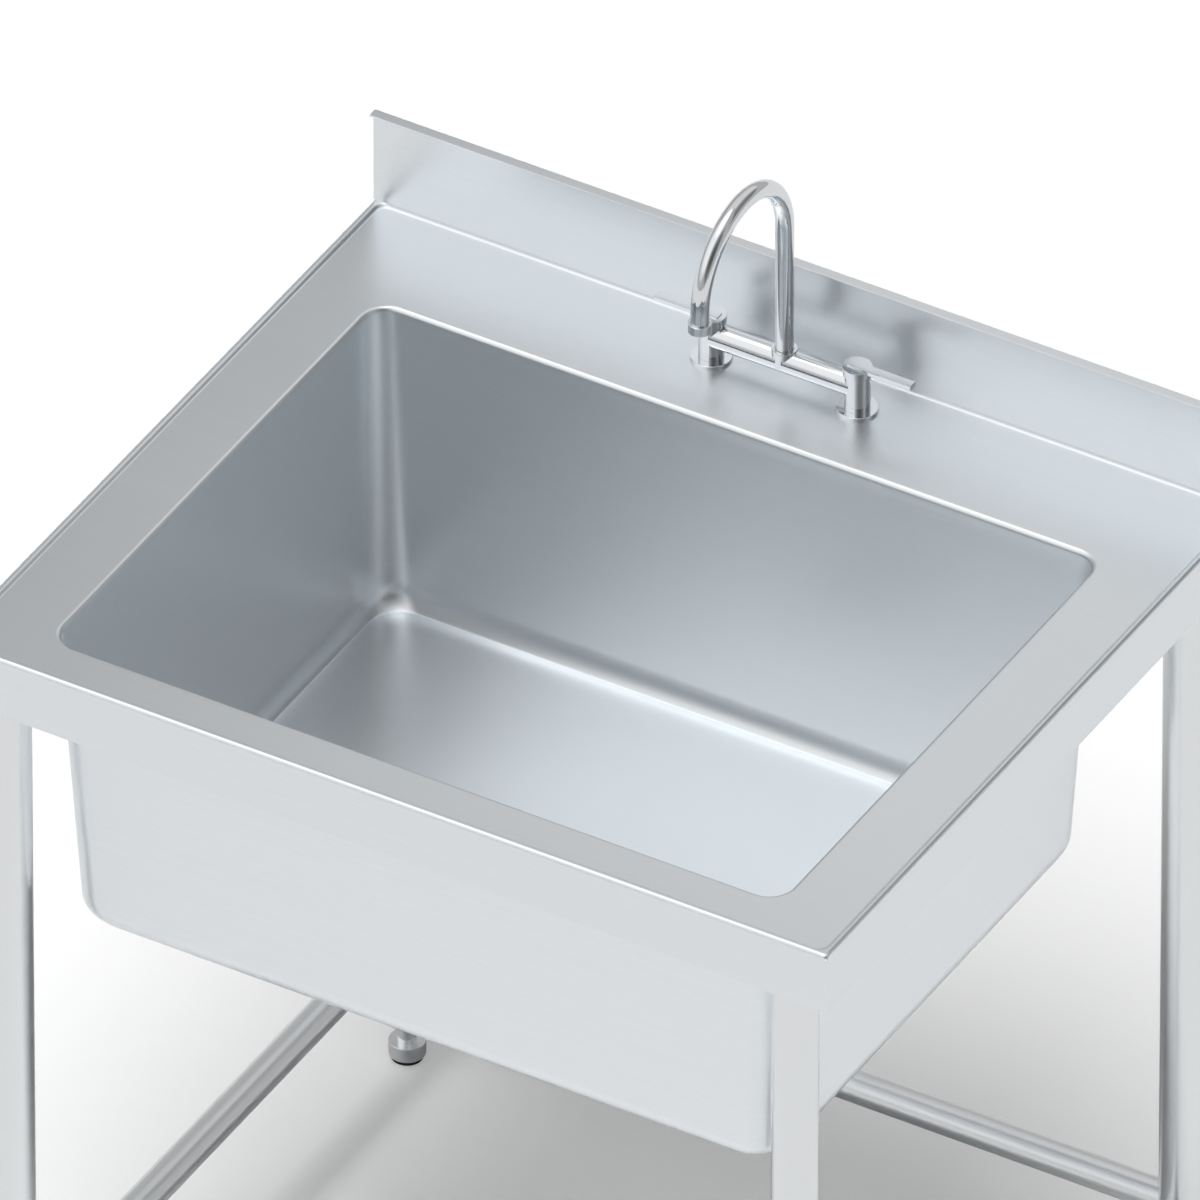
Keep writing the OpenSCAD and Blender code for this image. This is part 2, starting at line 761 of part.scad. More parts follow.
module at_waste(z) {
    translate([0, bowl_y, z]) children();
}

module washer(outer, inner, h) {
    difference() {
        cylinder(d = outer, h = h);
        translate([0, 0, -cut_over]) cylinder(d = inner, h = h + 2 * cut_over);
    }
}

// Turned cup: flange in the bowl's recess, threaded neck, flat bottom and outlet stub
module strainer_body() {
    r = neck_d / 2;
    profile = [
        [neck_bore / 2, 0],
        [neck_bore / 2, -neck_h],
        [outlet_bore / 2, -neck_h],
        [outlet_bore / 2, -neck_h - neck_wall - outlet_h],
        [outlet_d / 2, -neck_h - neck_wall - outlet_h],
        [outlet_d / 2, -neck_h - neck_wall],
        [r, -neck_h - neck_wall],
        [r, 0],
        [strainer_flange_d / 2, 0],
        [strainer_flange_d / 2, strainer_flange_t / 2],
        [strainer_flange_d / 2 - strainer_flange_t / 2, strainer_flange_t],
        [r, strainer_flange_t]
    ];
    color("silver") at_waste(recess_z) rotate_extrude() polygon(profile);
}

module waste_gasket() {
    color("black") at_waste(waste_under_z - waste_gasket_t)
        washer(locknut_d, neck_d + 2 * slip_gap, waste_gasket_t);
}

module waste_washer() {
    color("tan") at_waste(waste_under_z - waste_gasket_t - waste_washer_t)
        washer(locknut_d, neck_d + 2 * slip_gap, waste_washer_t);
}

module waste_locknut() {
    body_d = locknut_d - 2 * lug_h;
    lug_root = (neck_d + body_d) / 4;
    color("darkgray") at_waste(locknut_z) difference() {
        union() {
            cylinder(d = body_d, h = locknut_h);
            for (i = [0 : locknut_lugs - 1]) rotate([0, 0, i * 4 * quarter / locknut_lugs])
                translate([lug_root, -lug_w / 2, 0])
                    cube([locknut_d / 2 - lug_root, lug_w, locknut_h]);
        }
        translate([0, 0, -cut_over])
            cylinder(d = neck_d + 2 * running_gap, h = locknut_h + 2 * cut_over);
    }
}

// Drain holes on a circle, through whatever stands between z and z + h
module hole_ring(count, circle_r, d, z, h) {
    for (i = [0 : count - 1]) rotate([0, 0, i * 4 * quarter / count])
        translate([circle_r, 0, z]) cylinder(d = d, h = h, $fn = 24);
}

// Perforated cup with a post and a knob
module strainer_basket() {
    r = basket_d / 2;
    bottom_r = r - 2 * basket_lip;
    profile = [
        [0, 0],
        [bottom_r, 0],
        [r, basket_wall + basket_lip],
        [r, basket_h - basket_wall],
        [r + basket_lip, basket_h - basket_wall],
        [r + basket_lip, basket_h],
        [r - basket_wall, basket_h],
        [r - basket_wall, 2 * basket_wall + basket_lip],
        [bottom_r - basket_wall, basket_wall],
        [0, basket_wall]
    ];
    through = basket_wall + 2 * cut_over;
    color("silver") at_waste(basket_z) difference() {
        union() {
            rotate_extrude() polygon(profile);
            cylinder(d = post_d, h = basket_h);
            translate([0, 0, basket_h]) cylinder(d = knob_d, h = knob_h);
        }
        hole_ring(basket_holes, bottom_r - basket_hole_d, basket_hole_d, -cut_over, through);
        hole_ring(basket_holes / 2, bottom_r - 5 * basket_hole_d / 2, basket_hole_d, -cut_over, through);
        translate([0, 0, -cut_over]) cylinder(d = post_d / 2, h = basket_h / 2);
    }
}

// Rubber disc with a stud that plugs into the basket's post
module basket_stopper() {
    color("dimgray") at_waste(stopper_z) {
        cylinder(d = stopper_d, h = stopper_t);
        cylinder(d = post_d / 2 - 2 * slip_gap, h = stopper_t + basket_h / 3);
    }
}

// Shallow groove round a rod of diameter d
module mark_groove(d) {
    difference() {
        cylinder(d = d + cut_over, h = mark_w);
        translate([0, 0, -cut_over]) cylinder(d = d - 2 * mark_depth, h = mark_w + 2 * cut_over);
    }
}

module tailpiece() {
    color("silver") at_waste(tailpiece_top_z - tailpiece_l) difference() {
        union() {
            cylinder(d = tailpiece_d, h = tailpiece_l);
            translate([0, 0, tailpiece_l - tailpiece_flange_t]) cylinder(d = outlet_d, h = tailpiece_flange_t);
        }
        translate([0, 0, -cut_over])
            cylinder(d = tailpiece_d - 2 * tailpiece_wall, h = tailpiece_l + 2 * cut_over);
        translate([0, 0, tailpiece_grip]) mark_groove(tailpiece_d);
    }
}

module tailpiece_washer() {
    color("black") at_waste(tailpiece_top_z)
        washer(outlet_d, tailpiece_d - 2 * tailpiece_wall, tailpiece_washer_t);
}

module coupling_nut() {
    color("darkgray") at_waste(coupling_z) difference() {
        union() {
            cylinder(d = coupling_d, h = coupling_h);
            for (i = [0 : coupling_ribs - 1]) rotate([0, 0, i * 4 * quarter / coupling_ribs])
                translate([coupling_d / 2, 0, 0]) cylinder(d = coupling_rib_d, h = coupling_h);
        }
        translate([0, 0, coupling_lip_t]) cylinder(d = coupling_bore, h = coupling_h);
        translate([0, 0, -cut_over])
            cylinder(d = tailpiece_d + 2 * slip_gap, h = coupling_h);
    }
}

// Places on the tap, with heights measured from the pan
module at_inlet(side, z) {
    translate([side * tap_centres / 2, tap_y, pan_z + z]) children();
}

module tap_body() {
    color("whitesmoke") difference() {
        union() {
            for (side = [left, right]) at_inlet(side, tap_flange_t)
                cylinder(d = pillar_d, h = pillar_top - tap_flange_t);
            at_inlet(left, bridge_h) rotate([0, quarter, 0]) cylinder(d = bridge_d, h = tap_centres);
            translate([0, tap_y, pan_z + bridge_h]) turned(boss_d, boss_top - bridge_h);
        }
        for (side = [left, right]) {
            at_inlet(side, tap_flange_t - cut_over)
                cylinder(d = shank_socket_d, h = shank_engage + slip_gap + cut_over);
            at_inlet(side, tap_flange_t) cylinder(d = shank_bore, h = pillar_top);
            at_inlet(side, cartridge_floor) cylinder(d = cartridge_bore, h = pillar_top);
        }
        at_inlet(left, bridge_h) rotate([0, quarter, 0]) cylinder(d = bridge_bore, h = tap_centres);
        translate([0, tap_y, pan_z + boss_top - spigot_l - slip_gap])
            cylinder(d = spigot_bore, h = spigot_l + slip_gap + cut_over);
        translate([0, tap_y, pan_z + spout_screw_h]) rotate([-quarter, 0, 0])
            cylinder(d = spout_screw_d, h = boss_d);
    }
}

// Cover flange round an inlet, hollow below for its gasket
module tap_flange(side) {
    color("whitesmoke") at_inlet(side, 0) difference() {
        turned(tap_flange_d, tap_flange_t);
        translate([0, 0, -cut_over]) {
            cylinder(d = shank_socket_d, h = tap_flange_t + 2 * cut_over);
            cylinder(d = tap_flange_d - 2 * tap_gasket_margin, h = tap_gasket_t + cut_over);
        }
    }
}

module tap_gasket(side) {
    color("black") at_inlet(side, 0)
        washer(tap_flange_d - 2 * tap_gasket_margin - 2 * slip_gap, tap_hole_d, tap_gasket_t);
}

module tap_shank(side) {
    color("gold") at_inlet(side, -shank_drop) difference() {
        tube(shank_d, (shank_d - shank_bore) / 2, shank_drop + shank_top);
        translate([0, 0, shank_grip]) mark_groove(shank_d);
    }
}

// Rubber washers below the worktop, one on each shank
module tap_washers() {
    color("black") for (side = [left, right])
        at_inlet(side, tap_washer_z) washer(tap_washer_d, shank_socket_d, tap_washer_t);
}

// Hexagon nuts below the washers
module tap_nuts() {
    color("gold") for (side = [left, right])
        at_inlet(side, tap_washer_z - tap_nut_h) difference() {
            cylinder(d = tap_nut_af / cos(quarter / 3), h = tap_nut_h, $fn = 6);
            translate([0, 0, -cut_over]) cylinder(d = shank_socket_d, h = tap_nut_h + 2 * cut_over);
        }
}

// Valve body, bored for its spindle above and with a port below and towards the bridge
module tap_cartridge(side) {
    color("ivory") at_inlet(side, cartridge_z) difference() {
        cylinder(d = cartridge_d, h = cartridge_h);
        translate([0, 0, cartridge_h - spindle_seat - slip_gap])
            cylinder(d = spindle_bore, h = spindle_seat + slip_gap + cut_over);
        translate([0, 0, -cut_over]) cylinder(d = port_d, h = cartridge_h);
        translate([0, 0, bridge_h - cartridge_z]) rotate([0, -side * quarter, 0])
            cylinder(d = port_d, h = cartridge_d);
    }
}

module tap_spindle(side) {
    color("gold") at_inlet(side, spindle_z) cylinder(d = spindle_d, h = spindle_top - spindle_z);
}

// Hub with a chamfered bar across it, pointing outwards
module tap_handle(side) {
    half = lever_w / 2;
    c = lever_chamfer;
    bar = [
        [-half, c], [c - half, 0], [half - c, 0], [half, c],
        [half, lever_t - c], [half - c, lever_t], [c - half, lever_t], [-half, lever_t - c]
    ];
    color("whitesmoke") at_inlet(side, 0) rotate([0, 0, side == left ? 2 * quarter : 0]) difference() {
        union() {
            translate([0, 0, hub_z]) turned(hub_d, hub_h);
            translate([-lever_tail, 0, lever_z]) rotate([quarter, 0, quarter])
                linear_extrude(lever_tail + lever_reach) polygon(bar);
        }
        translate([0, 0, hub_z - cut_over])
            cylinder(d = spindle_bore, h = spindle_top + running_gap - hub_z + cut_over);
    }
}

// Riser, half circle and drop of the spout, as a solid of diameter d from the height low
module gooseneck(d, low, over) {
    drop = spout_drop - aerator_lip - aerator_disc_t + over;
    translate([0, tap_y, pan_z]) {
        translate([0, 0, low]) cylinder(d = d, h = arc_h - low);
        translate([0, -bend_r, arc_h]) rotate([quarter, 0, quarter])
            rotate_extrude(angle = 2 * quarter) translate([bend_r, 0]) circle(d = d);
        translate([0, -2 * bend_r, arc_h - drop]) cylinder(d = d, h = drop);
    }
}

module spout() {
    color("whitesmoke") difference() {
        union() {
            gooseneck(spout_d, spout_shoulder, 0);
            translate([0, tap_y, pan_z + boss_top - spigot_l])
                cylinder(d = spigot_d, h = spigot_l + turn_gap + spout_wall / 2);
        }
        gooseneck(spout_bore, spout_shoulder + spout_wall, cut_over);
        translate([0, tap_y, pan_z + boss_top - spigot_l - cut_over])
            cylinder(d = spigot_way, h = arc_h - boss_top + spigot_l);
        for (depth = [groove_upper, groove_lower])
            translate([0, tap_y, pan_z + boss_top - depth - groove_h / 2])
                washer(spigot_d + cut_over, groove_d, groove_h);
        translate([0, tap_y, pan_z + spout_screw_h - spout_screw_d / 2])
            washer(spigot_d + cut_over, groove_d, spout_screw_d);
    }
}

module spout_orings() {
    color("black") for (depth = [groove_upper, groove_lower])
        translate([0, tap_y, pan_z + boss_top - depth])
            rotate_extrude() translate([oring_ring_r, 0]) circle(d = oring_t, $fn = 24);
}

// Grub screw in the back of the boss, reaching into the spigot's middle groove
module spout_setscrew() {
    tip = groove_d / 2 + turn_gap;
    length = boss_d / 2 - tip - turn_gap;
    color("dimgray") translate([0, tap_y + tip, pan_z + spout_screw_h]) rotate([-quarter, 0, 0]) difference() {
        cylinder(d = spout_screw_d - 2 * running_gap, h = length);
        translate([0, 0, length / 2]) cylinder(d = spout_screw_d / 2, h = length, $fn = 6);
    }
}

module at_outlet(z) {
    translate([0, tap_y - 2 * bend_r, pan_z + arc_h - spout_drop + z]) children();
}

module aerator_housing() {
    color("whitesmoke") at_outlet(0) difference() {
        cylinder(d = aerator_d, h = aerator_h);
        translate([0, 0, aerator_lip]) cylinder(d = aerator_bore, h = aerator_h);
        translate([0, 0, -cut_over]) cylinder(d = aerator_bore - 2 * aerator_lip, h = aerator_h);
    }
}

module aerator_insert() {
    color("gray") at_outlet(aerator_lip) difference() {
        cylinder(d = spout_d, h = aerator_disc_t);
        hole_ring(aerator_holes, spout_d / 3, aerator_hole_d, -cut_over, aerator_disc_t + 2 * cut_over);
        hole_ring(aerator_holes / 2, spout_d / 6, aerator_hole_d, -cut_over, aerator_disc_t + 2 * cut_over);
    }
}

worktop();
splashback();
bowl();
side_channel(left);  // channel_left
side_channel(right);  // channel_right
channel_front();
channel_rear();
leg_socket(left, front);  // leg_socket_front_left
leg_socket(right, front);  // leg_socket_front_right
leg_socket(left, rear);  // leg_socket_rear_left
leg_socket(right, rear);  // leg_socket_rear_right
leg_setscrews();
leg(left, front);  // leg_front_left
leg(right, front);  // leg_front_right
leg(left, rear);  // leg_rear_left
leg(right, rear);  // leg_rear_right
side_rail(left);  // rail_left
side_rail(right);  // rail_right
rail_rear();
leg_insert(left, front);  // leg_insert_front_left
leg_insert(right, front);  // leg_insert_front_right
leg_insert(left, rear);  // leg_insert_rear_left
leg_insert(right, rear);  // leg_insert_rear_right
foot(left, front);  // foot_front_left
foot(right, front);  // foot_front_right
foot(left, rear);  // foot_rear_left
foot(right, rear);  // foot_rear_right
foot_pad(left, front);  // foot_pad_front_left
foot_pad(right, front);  // foot_pad_front_right
foot_pad(left, rear);  // foot_pad_rear_left
foot_pad(right, rear);  // foot_pad_rear_right
strainer_body();
waste_gasket();
waste_washer();
waste_locknut();
strainer_basket();
basket_stopper();
tailpiece();
tailpiece_washer();
coupling_nut();
tap_body();
tap_flange(left);  // tap_flange_left
tap_flange(right);  // tap_flange_right
tap_gasket(left);  // tap_gasket_left
tap_gasket(right);  // tap_gasket_right
tap_shank(left);  // tap_shank_left
tap_shank(right);  // tap_shank_right
tap_washers();
tap_nuts();
tap_cartridge(left);  // tap_cartridge_left
tap_cartridge(right);  // tap_cartridge_right
tap_spindle(left);  // tap_spindle_left
tap_spindle(right);  // tap_spindle_right
tap_handle(left);  // tap_handle_left
tap_handle(right);  // tap_handle_right
spout();
spout_orings();
spout_setscrew();
aerator_housing();
aerator_insert();
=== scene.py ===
"""Looks of a free-standing utility sink in stainless steel, with a bridge tap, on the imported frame."""
import math

import bmesh
import bpy
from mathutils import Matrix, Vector


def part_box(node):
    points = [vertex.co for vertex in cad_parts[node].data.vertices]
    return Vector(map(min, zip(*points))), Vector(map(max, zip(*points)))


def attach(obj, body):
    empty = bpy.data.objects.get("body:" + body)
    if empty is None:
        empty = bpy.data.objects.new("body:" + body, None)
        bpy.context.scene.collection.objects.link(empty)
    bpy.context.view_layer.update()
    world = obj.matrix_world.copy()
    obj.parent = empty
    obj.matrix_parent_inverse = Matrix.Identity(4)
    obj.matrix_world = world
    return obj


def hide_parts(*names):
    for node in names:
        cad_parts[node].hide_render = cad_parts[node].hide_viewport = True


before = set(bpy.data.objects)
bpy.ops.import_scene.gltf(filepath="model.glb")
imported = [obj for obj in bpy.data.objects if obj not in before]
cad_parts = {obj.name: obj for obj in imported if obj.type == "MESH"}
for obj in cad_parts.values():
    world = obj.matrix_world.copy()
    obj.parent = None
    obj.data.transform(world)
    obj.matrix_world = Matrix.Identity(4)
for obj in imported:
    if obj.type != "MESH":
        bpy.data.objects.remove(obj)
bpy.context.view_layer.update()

MM = 0.001
QUARTER = math.pi / 2
FULL_TURN = 4 * QUARTER
X_AXIS, Z_AXIS = Vector((1, 0, 0)), Vector((0, 0, 1))
# Sign of X on each side, and the names of the legs' places
SIDES = {"left": -1, "right": 1}
CORNERS = [f"{end}_{side}" for side in SIDES for end in ("front", "rear")]

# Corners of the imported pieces, from which the places below are worked out
worktop_low, worktop_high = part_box("worktop")
splash_low, splash_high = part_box("splashback")
bowl_low, bowl_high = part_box("bowl")

# Worktop and splashback
SHEET = 1.5 * MM
PAN_DROP = 3 * MM
BEAD_OUT_R = 4 * MM
BEAD_IN_R = 4 * MM
BEAD_FOOT_R = 2.5 * MM
CREST_W = 0.3 * MM
BEAD_CORNER_OUT_R = 4.5 * MM
BEAD_CORNER_IN_R = 12 * MM
APRON_RETURN = 5 * MM
FOLD_R = 0.8 * MM
COVE_R = 4 * MM
SPLASH_T = 3.5 * MM
LIP_T = 1.8 * MM
EDGE_R = 0.4 * MM
LIP_EDGE_R = 1.5 * EDGE_R
HALF_W, HALF_D = worktop_high.x, worktop_high.y
CREST_Z = worktop_high.z
APRON_Z = worktop_low.z
PAN_Z = CREST_Z - PAN_DROP
DECK_UNDER_Z = PAN_Z - SHEET
SPLASH_Y = HALF_D - SPLASH_T
BEAD_TURN = math.acos(1 - PAN_DROP / (BEAD_IN_R + BEAD_FOOT_R))
BEAD_IN_S = BEAD_OUT_R + CREST_W
BEAD_FOOT_S = BEAD_IN_S + (BEAD_IN_R + BEAD_FOOT_R) * math.sin(BEAD_TURN)
TAP_HOLE_D = 22 * MM

# Bowl
RIM_R = 5 * MM
BOWL_CORNER_TOP_R = 24 * MM
BOWL_CORNER_FOOT_R = 32 * MM
FLOOR_CORNER_R = 33 * MM
FLOOR_ARC_R = 32 * MM
FLOOR_ARC_END = math.radians(50)
RECESS_D = 122 * MM
RECESS_H = 2.5 * MM
RECESS_SLOPE = 3 * MM
RECESS_EDGE_R = 1.2 * MM
RECESS_RUN = 4 * RECESS_EDGE_R
WASTE_HOLE_D = 90 * MM
# Half of the straight side that a round ring keeps, so that no two of its points meet
RING_FLAT = MM / 20
DRAFT = 12.5 * MM
DRAFT_START = 12 * MM
# Outside, the arc runs on down to the sheet below the floor
UNDER_TURN = math.asin(
    (FLOOR_ARC_R * math.sin(FLOOR_ARC_END) + SHEET) / (FLOOR_ARC_R + SHEET)
) - FLOOR_ARC_END
SKIRT_Z = bowl_high.z
BOWL_HALF_W = bowl_high.x - SHEET
BOWL_FRONT_Y = bowl_low.y + SHEET
BOWL_REAR_Y = bowl_high.y - SHEET
BOWL_Y = (BOWL_FRONT_Y + BOWL_REAR_Y) / 2
BOWL_FLOOR_Z = bowl_low.z + SHEET + RECESS_H

# Legs, rails and feet
TUBE_WALL = 1.5 * MM
# Where a rail has its plain rings, as shares of its length
RAIL_SHARES = (0.1, 0.5, 0.9)
STEM_R = 10 * MM
STEM_EDGE_R = 0.6 * MM
CUP_H = 15.4 * MM
CUP_TOP_R = 0.9 * MM
CUP_FOOT_R = 1.2 * MM
CUP_MOUTH_R = 0.2 * MM
PAD_GAP = 0.1 * MM
PAD_FOOT_R = 1.2 * MM
PAD_TOP_R = 0.3 * MM

# Tap body
BRIDGE_D = 23.6 * MM
BRIDGE_H = 26 * MM
PILLAR_D = 24 * MM
TAP_TOP = 39.5 * MM
BOSS_D = 23.9 * MM
BOSS_TOP = 39.3 * MM
# How far below the bridge's centre line the boss starts, hidden in the bridge
BOSS_DROP = 5 * MM
BOSS_EDGE_R = 0.9 * MM
BOSS_BORE_H = 14.1 * MM
SPIGOT_CLEARANCE = 0.05 * MM
VALVE_BORE_R = 9 * MM
VALVE_BORE_FLOOR = 16.5 * MM
SHANK_BORE_R = 10.575 * MM
SHANK_BORE_H = 12.1 * MM
# How far a cutter runs past the face that it opens
OVERRUN = MM

# Tap flanges
FLANGE_BORE_R = 10.6 * MM
FLANGE_RIM = 1.5 * MM
FLANGE_HOLLOW = MM
FLANGE_FOOT_R = 0.2 * MM
FLANGE_TOP_R = 0.8 * MM

# Levers
HUB_D = 27.4 * MM
HUB_H = 8 * MM
HUB_ROOF = 2.45 * MM
SPINDLE_BORE_R = 4.05 * MM
LEVER_W = 9.5 * MM
LEVER_T = 4.5 * MM
LEVER_TAIL = 8 * MM
TURNED_EDGE = 0.5 * MM

# Spout and aerator
SPOUT_D = 17 * MM
SPOUT_WALL = 1.5 * MM
SPOUT_GAP = 0.3 * MM
SPOUT_EDGE_W = 0.3 * MM
SPOUT_EDGE_H = 0.5 * MM
BEND_R = 74.75 * MM
ARC_H = 175.6 * MM
SPIGOT_D = 15 * MM
WATERWAY_R = 4.65 * MM
GROOVE_R = 6.15 * MM
GROOVE_FOOT = 8.3 * MM
GROOVE_TOP = 1.3 * MM
AERATOR_GAP = 0.1 * MM
AERATOR_LIP = 1.2 * MM
AERATOR_EDGE_R = 0.2 * MM
AERATOR_FOOT_R = 0.6 * MM
AERATOR_TOP_R = 0.8 * MM

# Steps of the curves
CORNER_STEPS = 14
ARC_STEPS = 8
BEND_STEPS = 10
COVE_STEPS = 3
LEAN_STEPS = 6
FLOOR_ARC_STEPS = 16
ROUND_STEPS = 4
FINE_ROUND_STEPS = 3
LATHE_STEPS = 72
TUBE_STEPS = 96
SPOUT_STEPS = 64
SPOUT_ARC_STEPS = 72

# Mesh limits: points this close are merged, and a rounding takes no more of an edge than this share
MERGE_DISTANCE = 1e-7
ON_AXIS = 1e-9
REACH_SHARE = 0.48

# Shading: weight of the large faces, and the degrees from which an edge stays sharp
NORMAL_WEIGHT = 80
SHARP = 40
TAP_SHARP = 25
SPOUT_SHARP = 50

# Colours, linear
STEEL = (0.895, 0.93, 0.955)
# Painted light: the sheet's own steel made a little lighter and bluer for the bowl, so that the shaded
# inside of the bowl renders brighter
BOWL_STEEL_LIGHTENED = (0.915, 0.95, 0.975)
TUBE_STEEL = (0.89, 0.91, 0.925)
BLACKENED = (0.12, 0.12, 0.125)
CHROME = (0.86, 0.88, 0.90)
YELLOW_BRASS = (0.72, 0.52, 0.25)
BLACK = (0.012, 0.012, 0.013)
GREY = (0.42, 0.43, 0.44)
TAN = (0.45, 0.34, 0.22)

# Noise of the materials: its useful span, and how far it moves gloss, colour and height
NOISE_LOW, NOISE_HIGH = 0.3, 0.7
NOISE_ROUGHNESS = 0.55
CLOUD_SCALE = (5, 5, 5)
SATIN_GLOSS = 0.03
SATIN_DARKER, SATIN_LIGHTER = 0.015, 0.01
SATIN_BUMP, SATIN_DEPTH = 0.04, 0.05 * MM
SMEAR_SCALE = (60, 60, 25)
SMEAR_GLOSS_LOW, SMEAR_GLOSS_HIGH = 0.7, 1.4
SMEAR_TINT_LOW, SMEAR_TINT_HIGH = 0.99, 1.0
MOULD_SCALE = (900, 900, 900)
MOULD_GLOSS = 0.08
MOULD_TINT_LOW, MOULD_TINT_HIGH = 0.85, 1.15
MOULD_BUMP, MOULD_DEPTH = 0.25, 0.1 * MM


def centre_of(node):
    """Middle of a node's box."""
    low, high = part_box(node)
    return (low + high) / 2


def radius_of(node):
    """Half of a round node's width."""
    low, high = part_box(node)
    return (high.x - low.x) / 2


def axis_foot(node):
    """Where the upright axis of a node meets the floor."""
    centre = centre_of(node)
    return Vector((centre.x, centre.y, 0))


def arc(start, end, steps=ARC_STEPS):
    """Angles from start to end in equal steps."""
    return [start + (end - start) * i / steps for i in range(steps + 1)]


def circle(steps):
    """Angles of one full turn in equal steps."""
    return arc(0, FULL_TURN, steps)[:-1]


def corner(x, y, r, start, z0, z1):
    """One rounded corner about (x, y), from an angle on, rising from z0 to z1."""
    points = []
    for i in range(CORNER_STEPS + 1):
        share = i / CORNER_STEPS
        angle = start + QUARTER * share
        z = z0 + (z1 - z0) * share
        points.append(Vector((x + r * math.cos(angle), y + r * math.sin(angle), z)))
    return points


def ring(half, y0, y1, z, r_front, r_back, z_back=None):
    """Rounded rectangle from y0 to y1, counter-clockwise from the front left; its back edge is at z_back."""
    z_back = z if z_back is None else z_back
    return (
        corner(r_front - half, y0 + r_front, r_front, 2 * QUARTER, z, z)
        + corner(half - r_front, y0 + r_front, r_front, 3 * QUARTER, z, z)
        + corner(half - r_back, y1 - r_back, r_back, 0, z, z_back)
        + corner(r_back - half, y1 - r_back, r_back, QUARTER, z_back, z)
    )


def from_bmesh(name, bm):
    """Linked object made from a finished bmesh."""
    bmesh.ops.remove_doubles(bm, verts=bm.verts, dist=MERGE_DISTANCE)
    bmesh.ops.recalc_face_normals(bm, faces=bm.faces)
    mesh = bpy.data.meshes.new(name)
    bm.to_mesh(mesh)
    bm.free()
    obj = bpy.data.objects.new(name, mesh)
    bpy.context.scene.collection.objects.link(obj)
    return obj


def skin(name, rings, closed=False, capped=False):
    """Mesh skinned over rings of one count of points."""
    bm = bmesh.new()
    rows = [[bm.verts.new(p) for p in points] for points in rings]
    count = len(rows[0])
    pairs = list(zip(rows, rows[1:]))
    if closed:
        pairs.append((rows[-1], rows[0]))
    for a, b in pairs:
        for i in range(count):
            j = (i + 1) % count
            bm.faces.new((a[i], b[i], b[j], a[j]))
    if capped:
        bm.faces.new(rows[0])
        bm.faces.new(list(reversed(rows[-1])))
    return from_bmesh(name, bm)


def rounded(points, radius, steps=ROUND_STEPS, closed=True):
    """Outline of (a, b) points with its corners rounded by a radius, or by one radius for each point."""
    count = len(points)
    radii = radius if isinstance(radius, (list, tuple)) else [radius] * count
    out = []
    for i, (point, r) in enumerate(zip(points, radii)):
        here = Vector(point)
        if r == 0 or (not closed and i in (0, count - 1)):
            out.append(here)
            continue
        before = Vector(points[i - 1]) - here
        after = Vector(points[(i + 1) % count]) - here
        half = before.angle(after) / 2
        reach = min(r / math.tan(half), REACH_SHARE * before.length, REACH_SHARE * after.length)
        start = here + before.normalized() * reach
        end = here + after.normalized() * reach
        for k in range(steps + 1):
            t = k / steps
            out.append((1 - t) ** 2 * start + 2 * t * (1 - t) * here + t ** 2 * end)
    return out


def lathe(name, profile, origin, axis=Z_AXIS, steps=LATHE_STEPS):
    """Solid turned about an axis through the origin from a closed outline of (radius, height) points."""
    bm = bmesh.new()
    turn = Z_AXIS.rotation_difference(axis).to_matrix()
    columns = []
    for angle in circle(steps):
        columns.append([
            bm.verts.new(origin + turn @ Vector((p[0] * math.cos(angle), p[0] * math.sin(angle), p[1])))
            for p in profile
        ])
    count = len(profile)
    for k in range(steps):
        a, b = columns[k], columns[(k + 1) % steps]
        for i in range(count):
            j = (i + 1) % count
            if profile[i][0] < ON_AXIS and profile[j][0] < ON_AXIS:
                continue
            bm.faces.new((a[i], b[i], b[j], a[j]))
    return from_bmesh(name, bm)


def rod(name, start, end, r, edge=0.0):
    """Solid rod from start to end, with rounded edges."""
    start, end = Vector(start), Vector(end)
    length = (end - start).length
    outline = rounded([(0, 0), (r, 0), (r, length), (0, length)], [0, edge, edge, 0], FINE_ROUND_STEPS)
    return lathe(name, outline, start, (end - start).normalized(), TUBE_STEPS)


def cut(obj, tools, operation="DIFFERENCE"):
    """Cuts the tools out of a piece, or joins them to it, and removes the tools."""
    for tool in tools:
        modifier = obj.modifiers.new("cut", "BOOLEAN")
        modifier.operation = operation
        modifier.solver = "EXACT"
        modifier.object = tool
    bpy.context.view_layer.update()
    graph = bpy.context.evaluated_depsgraph_get()
    mesh = bpy.data.meshes.new_from_object(obj.evaluated_get(graph))
    obj.modifiers.clear()
    old = obj.data
    obj.data = mesh
    bpy.data.meshes.remove(old)
    for tool in tools:
        used = tool.data
        bpy.data.objects.remove(tool)
        bpy.data.meshes.remove(used)
    return obj


def dress(obj, material, body, node, sharp=SHARP):
    """Gives a piece its material and shading, puts it under its body, and hides the node that it stands for.
    """
    obj.data.materials.clear()
    obj.data.materials.append(material)
    obj.data.polygons.foreach_set("use_smooth", [True] * len(obj.data.polygons))
    obj.data.set_sharp_from_angle(angle=math.radians(sharp))
    weighted = obj.modifiers.new("shade", "WEIGHTED_NORMAL")
    weighted.mode = "FACE_AREA"
    weighted.weight = NORMAL_WEIGHT
    weighted.keep_sharp = True
    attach(obj, body)
    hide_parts(node)


def node_material(name, colour, metallic, roughness):
    """Principled material with its constant values on its own sockets."""
    made = bpy.data.materials.new(name)
    made.use_nodes = True
    tree = made.node_tree
    tree.nodes.clear()
    output = tree.nodes.new("ShaderNodeOutputMaterial")
    shader = tree.nodes.new("ShaderNodeBsdfPrincipled")
    shader.inputs["Base Color"].default_value = (*colour, 1)
    shader.inputs["Metallic"].default_value = metallic
    shader.inputs["Roughness"].default_value = roughness
    tree.links.new(shader.outputs["BSDF"], output.inputs["Surface"])
    return made, tree, shader


